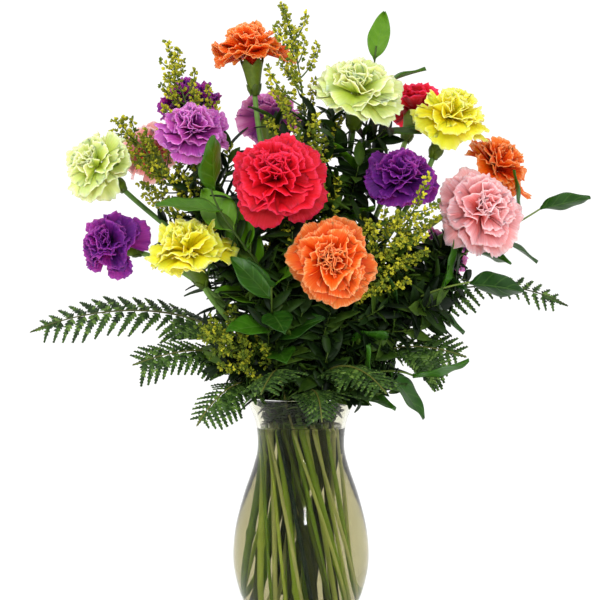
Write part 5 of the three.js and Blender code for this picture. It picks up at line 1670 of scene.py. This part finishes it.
def blades(leaves, widest, random):
    """The blades of a sprig, all in one array: root + length x (axis s + side x half(s) u + up x
    (fold |u|^1.3 - arch s^2 + wave))."""
    rows = np.array([np.hstack(leaf) for leaf in leaves])
    root, axis, side, up = (rows[:, k:k + 3][:, None, None] for k in (0, 3, 6, 9))
    length = rows[:, 12][:, None, None, None]
    s = np.linspace(0, 1, 19)[:, None, None]
    u = np.linspace(-1, 1, 11)[:, None]
    half = widest * np.sin(math.pi * np.clip(s * 1.04 - 0.04, 0, 1) ** 0.82) ** 0.85 + STALK_HALF
    wave = LEAF_WAVE * np.abs(u) * np.sin(14 * s + 6 * random.random(length.shape))
    rise = LEAF_FOLD * np.abs(u) ** 1.3 - LEAF_ARCH * s**2 + wave
    middle = root + length * (axis * s + side * half * u + up * rise)
    return sheets(middle, LEAF_THICK, random.uniform(0.1, 0.8, len(rows)))


print("a leaf of 46 mm is about", round(2 * 46 * (LEAF_HALF + STALK_HALF)), "mm wide")

# %% [markdown]
# ### The sprigs
# The six sprigs differ a little: two have brighter, yellower leaves, two have narrow ones. Small
# leafy shoots on the same stem fill the room behind the broad leaves.

# %% Sprigs
NARROW = {"sprig_top": 0.18, "sprig_far_right": 0.2}  # sprigs with narrower leaves
BRIGHTER_LEAVED = ("sprig_left", "sprig_top")  # sprigs with brighter leaves
SPRIG_SHOOTS = {"sprig_far_right": 26, "sprig_right": 20}  # sprigs with more than 15 leafy shoots


def sprig(name):
    """One sprig: its stem, its broad leaves and small leafy shoots."""
    stem, random = stems[name], dice(name)
    shares = np.linspace(0.06, min(stem.leafy_from + 0.34, 0.86), SPRIG_SHOOTS.get(name, 15))
    shoots, small = leafy_shoots(stem, shares, (26, 52), (26, 5.2), random)
    broad = blades(broad_leaves[name], NARROW.get(name, LEAF_HALF), random)
    shapes = [bare_stem(stem, 1.7, 0.7), broad, rods(shoots)] + small
    broad_finish = LEAF_BRIGHT if name in BRIGHTER_LEAVED else LEAF_DARK
    finishes = [TWIG_GREEN, broad_finish, TWIG_GREEN] + [SPRAY_GREEN_AND_SHADE] * len(small)
    return piece(name, "leaf", shapes, finishes, name)


sprigs = [sprig(name) for name in SPRIGS]
print("sprigs:", len(sprigs), "with", triangles(*sprigs), "triangles")

# %% [markdown]
# ## Floor and sky
# The bunch stands on pale paper under an even white sky, as in a light tent, so that glass and
# petals have something bright to show. The paper is far larger than the picture, which puts its
# edge out of sight, and lies a hair below the foot, so that the two faces never fight.

# %% Floor and sky
PAPER_SIZE, PAPER_HEIGHT = 60, -0.0003  # metres
SKY_STRENGTH = 1.1


def paper(name, size, height, colour):
    """A square sheet of matt paper, which only sets the scene."""
    mesh = bpy.data.meshes.new(name)
    h = size / 2
    corners = [(-h, -h, height), (h, -h, height), (h, h, height), (-h, h, height)]
    mesh.from_pydata(corners, [], [(0, 1, 2, 3)])
    finish = new_finish(name + "_paper", Roughness=0.9, Base_Color=linear(colour), Specular_IOR_Level=0.1)
    mesh.materials.append(finish)
    made = bpy.data.objects.new(name, mesh)
    bpy.context.scene.collection.objects.link(made)


paper("floor", PAPER_SIZE, PAPER_HEIGHT, "#FDFDFC")
world = bpy.data.worlds.new("light_tent")
world.use_nodes = True
world.node_tree.nodes["Background"].inputs["Color"].default_value = (1, 1, 1, 1)
world.node_tree.nodes["Background"].inputs["Strength"].default_value = SKY_STRENGTH
bpy.context.scene.world = world
print("paper of", PAPER_SIZE, "m and a white sky of strength", SKY_STRENGTH)

# %% [markdown]
# ## Lamps and camera
# A sky alone gives flat light. A large soft lamp above and to the left of the camera gives shape,
# and a small one near the camera brightens the blooms' faces and makes the glass glint. The camera
# stands off far enough, with a long lens, that the bunch isn't distorted.

# %% Lamps
BUNCH = (0, 0, 0.35)  # where the lamps point, in metres


def lamp(name, place, size, power):
    """A square soft lamp at a place, facing the bunch, in metres and watts."""
    data = bpy.data.lights.new(name, "AREA")
    data.shape, data.size, data.energy = "SQUARE", size, power
    made = bpy.data.objects.new(name, data)
    made.location = place
    made.rotation_euler = (Vector(BUNCH) - Vector(place)).to_track_quat("-Z", "Y").to_euler()
    bpy.context.scene.collection.objects.link(made)


lamp("key_lamp", (-0.9, -1.3, 1.5), 0.7, 12)
lamp("front_lamp", (0.25, -1.8, 0.8), 0.18, 14)
print("lamps:", len(bpy.data.lights))

# %% Camera
CAMERA_PLACE = (-0.0008, -1.6, 0.357)
CAMERA_TILT = 2.78  # degrees that it looks down
LENS, SENSOR = 120, 36  # millimetres

camera = bpy.data.objects.new("camera", bpy.data.cameras.new("camera"))
camera.data.lens = LENS
camera.data.sensor_width = SENSOR
camera.location = CAMERA_PLACE
camera.rotation_euler = (math.radians(90 - CAMERA_TILT), 0, 0)
bpy.context.scene.collection.objects.link(camera)
bpy.context.scene.camera = camera
bpy.context.scene.view_settings.view_transform = "Standard"
print("the camera sees", round(-CAMERA_PLACE[1] * SENSOR / LENS, 3), "m across at the vase's axis")
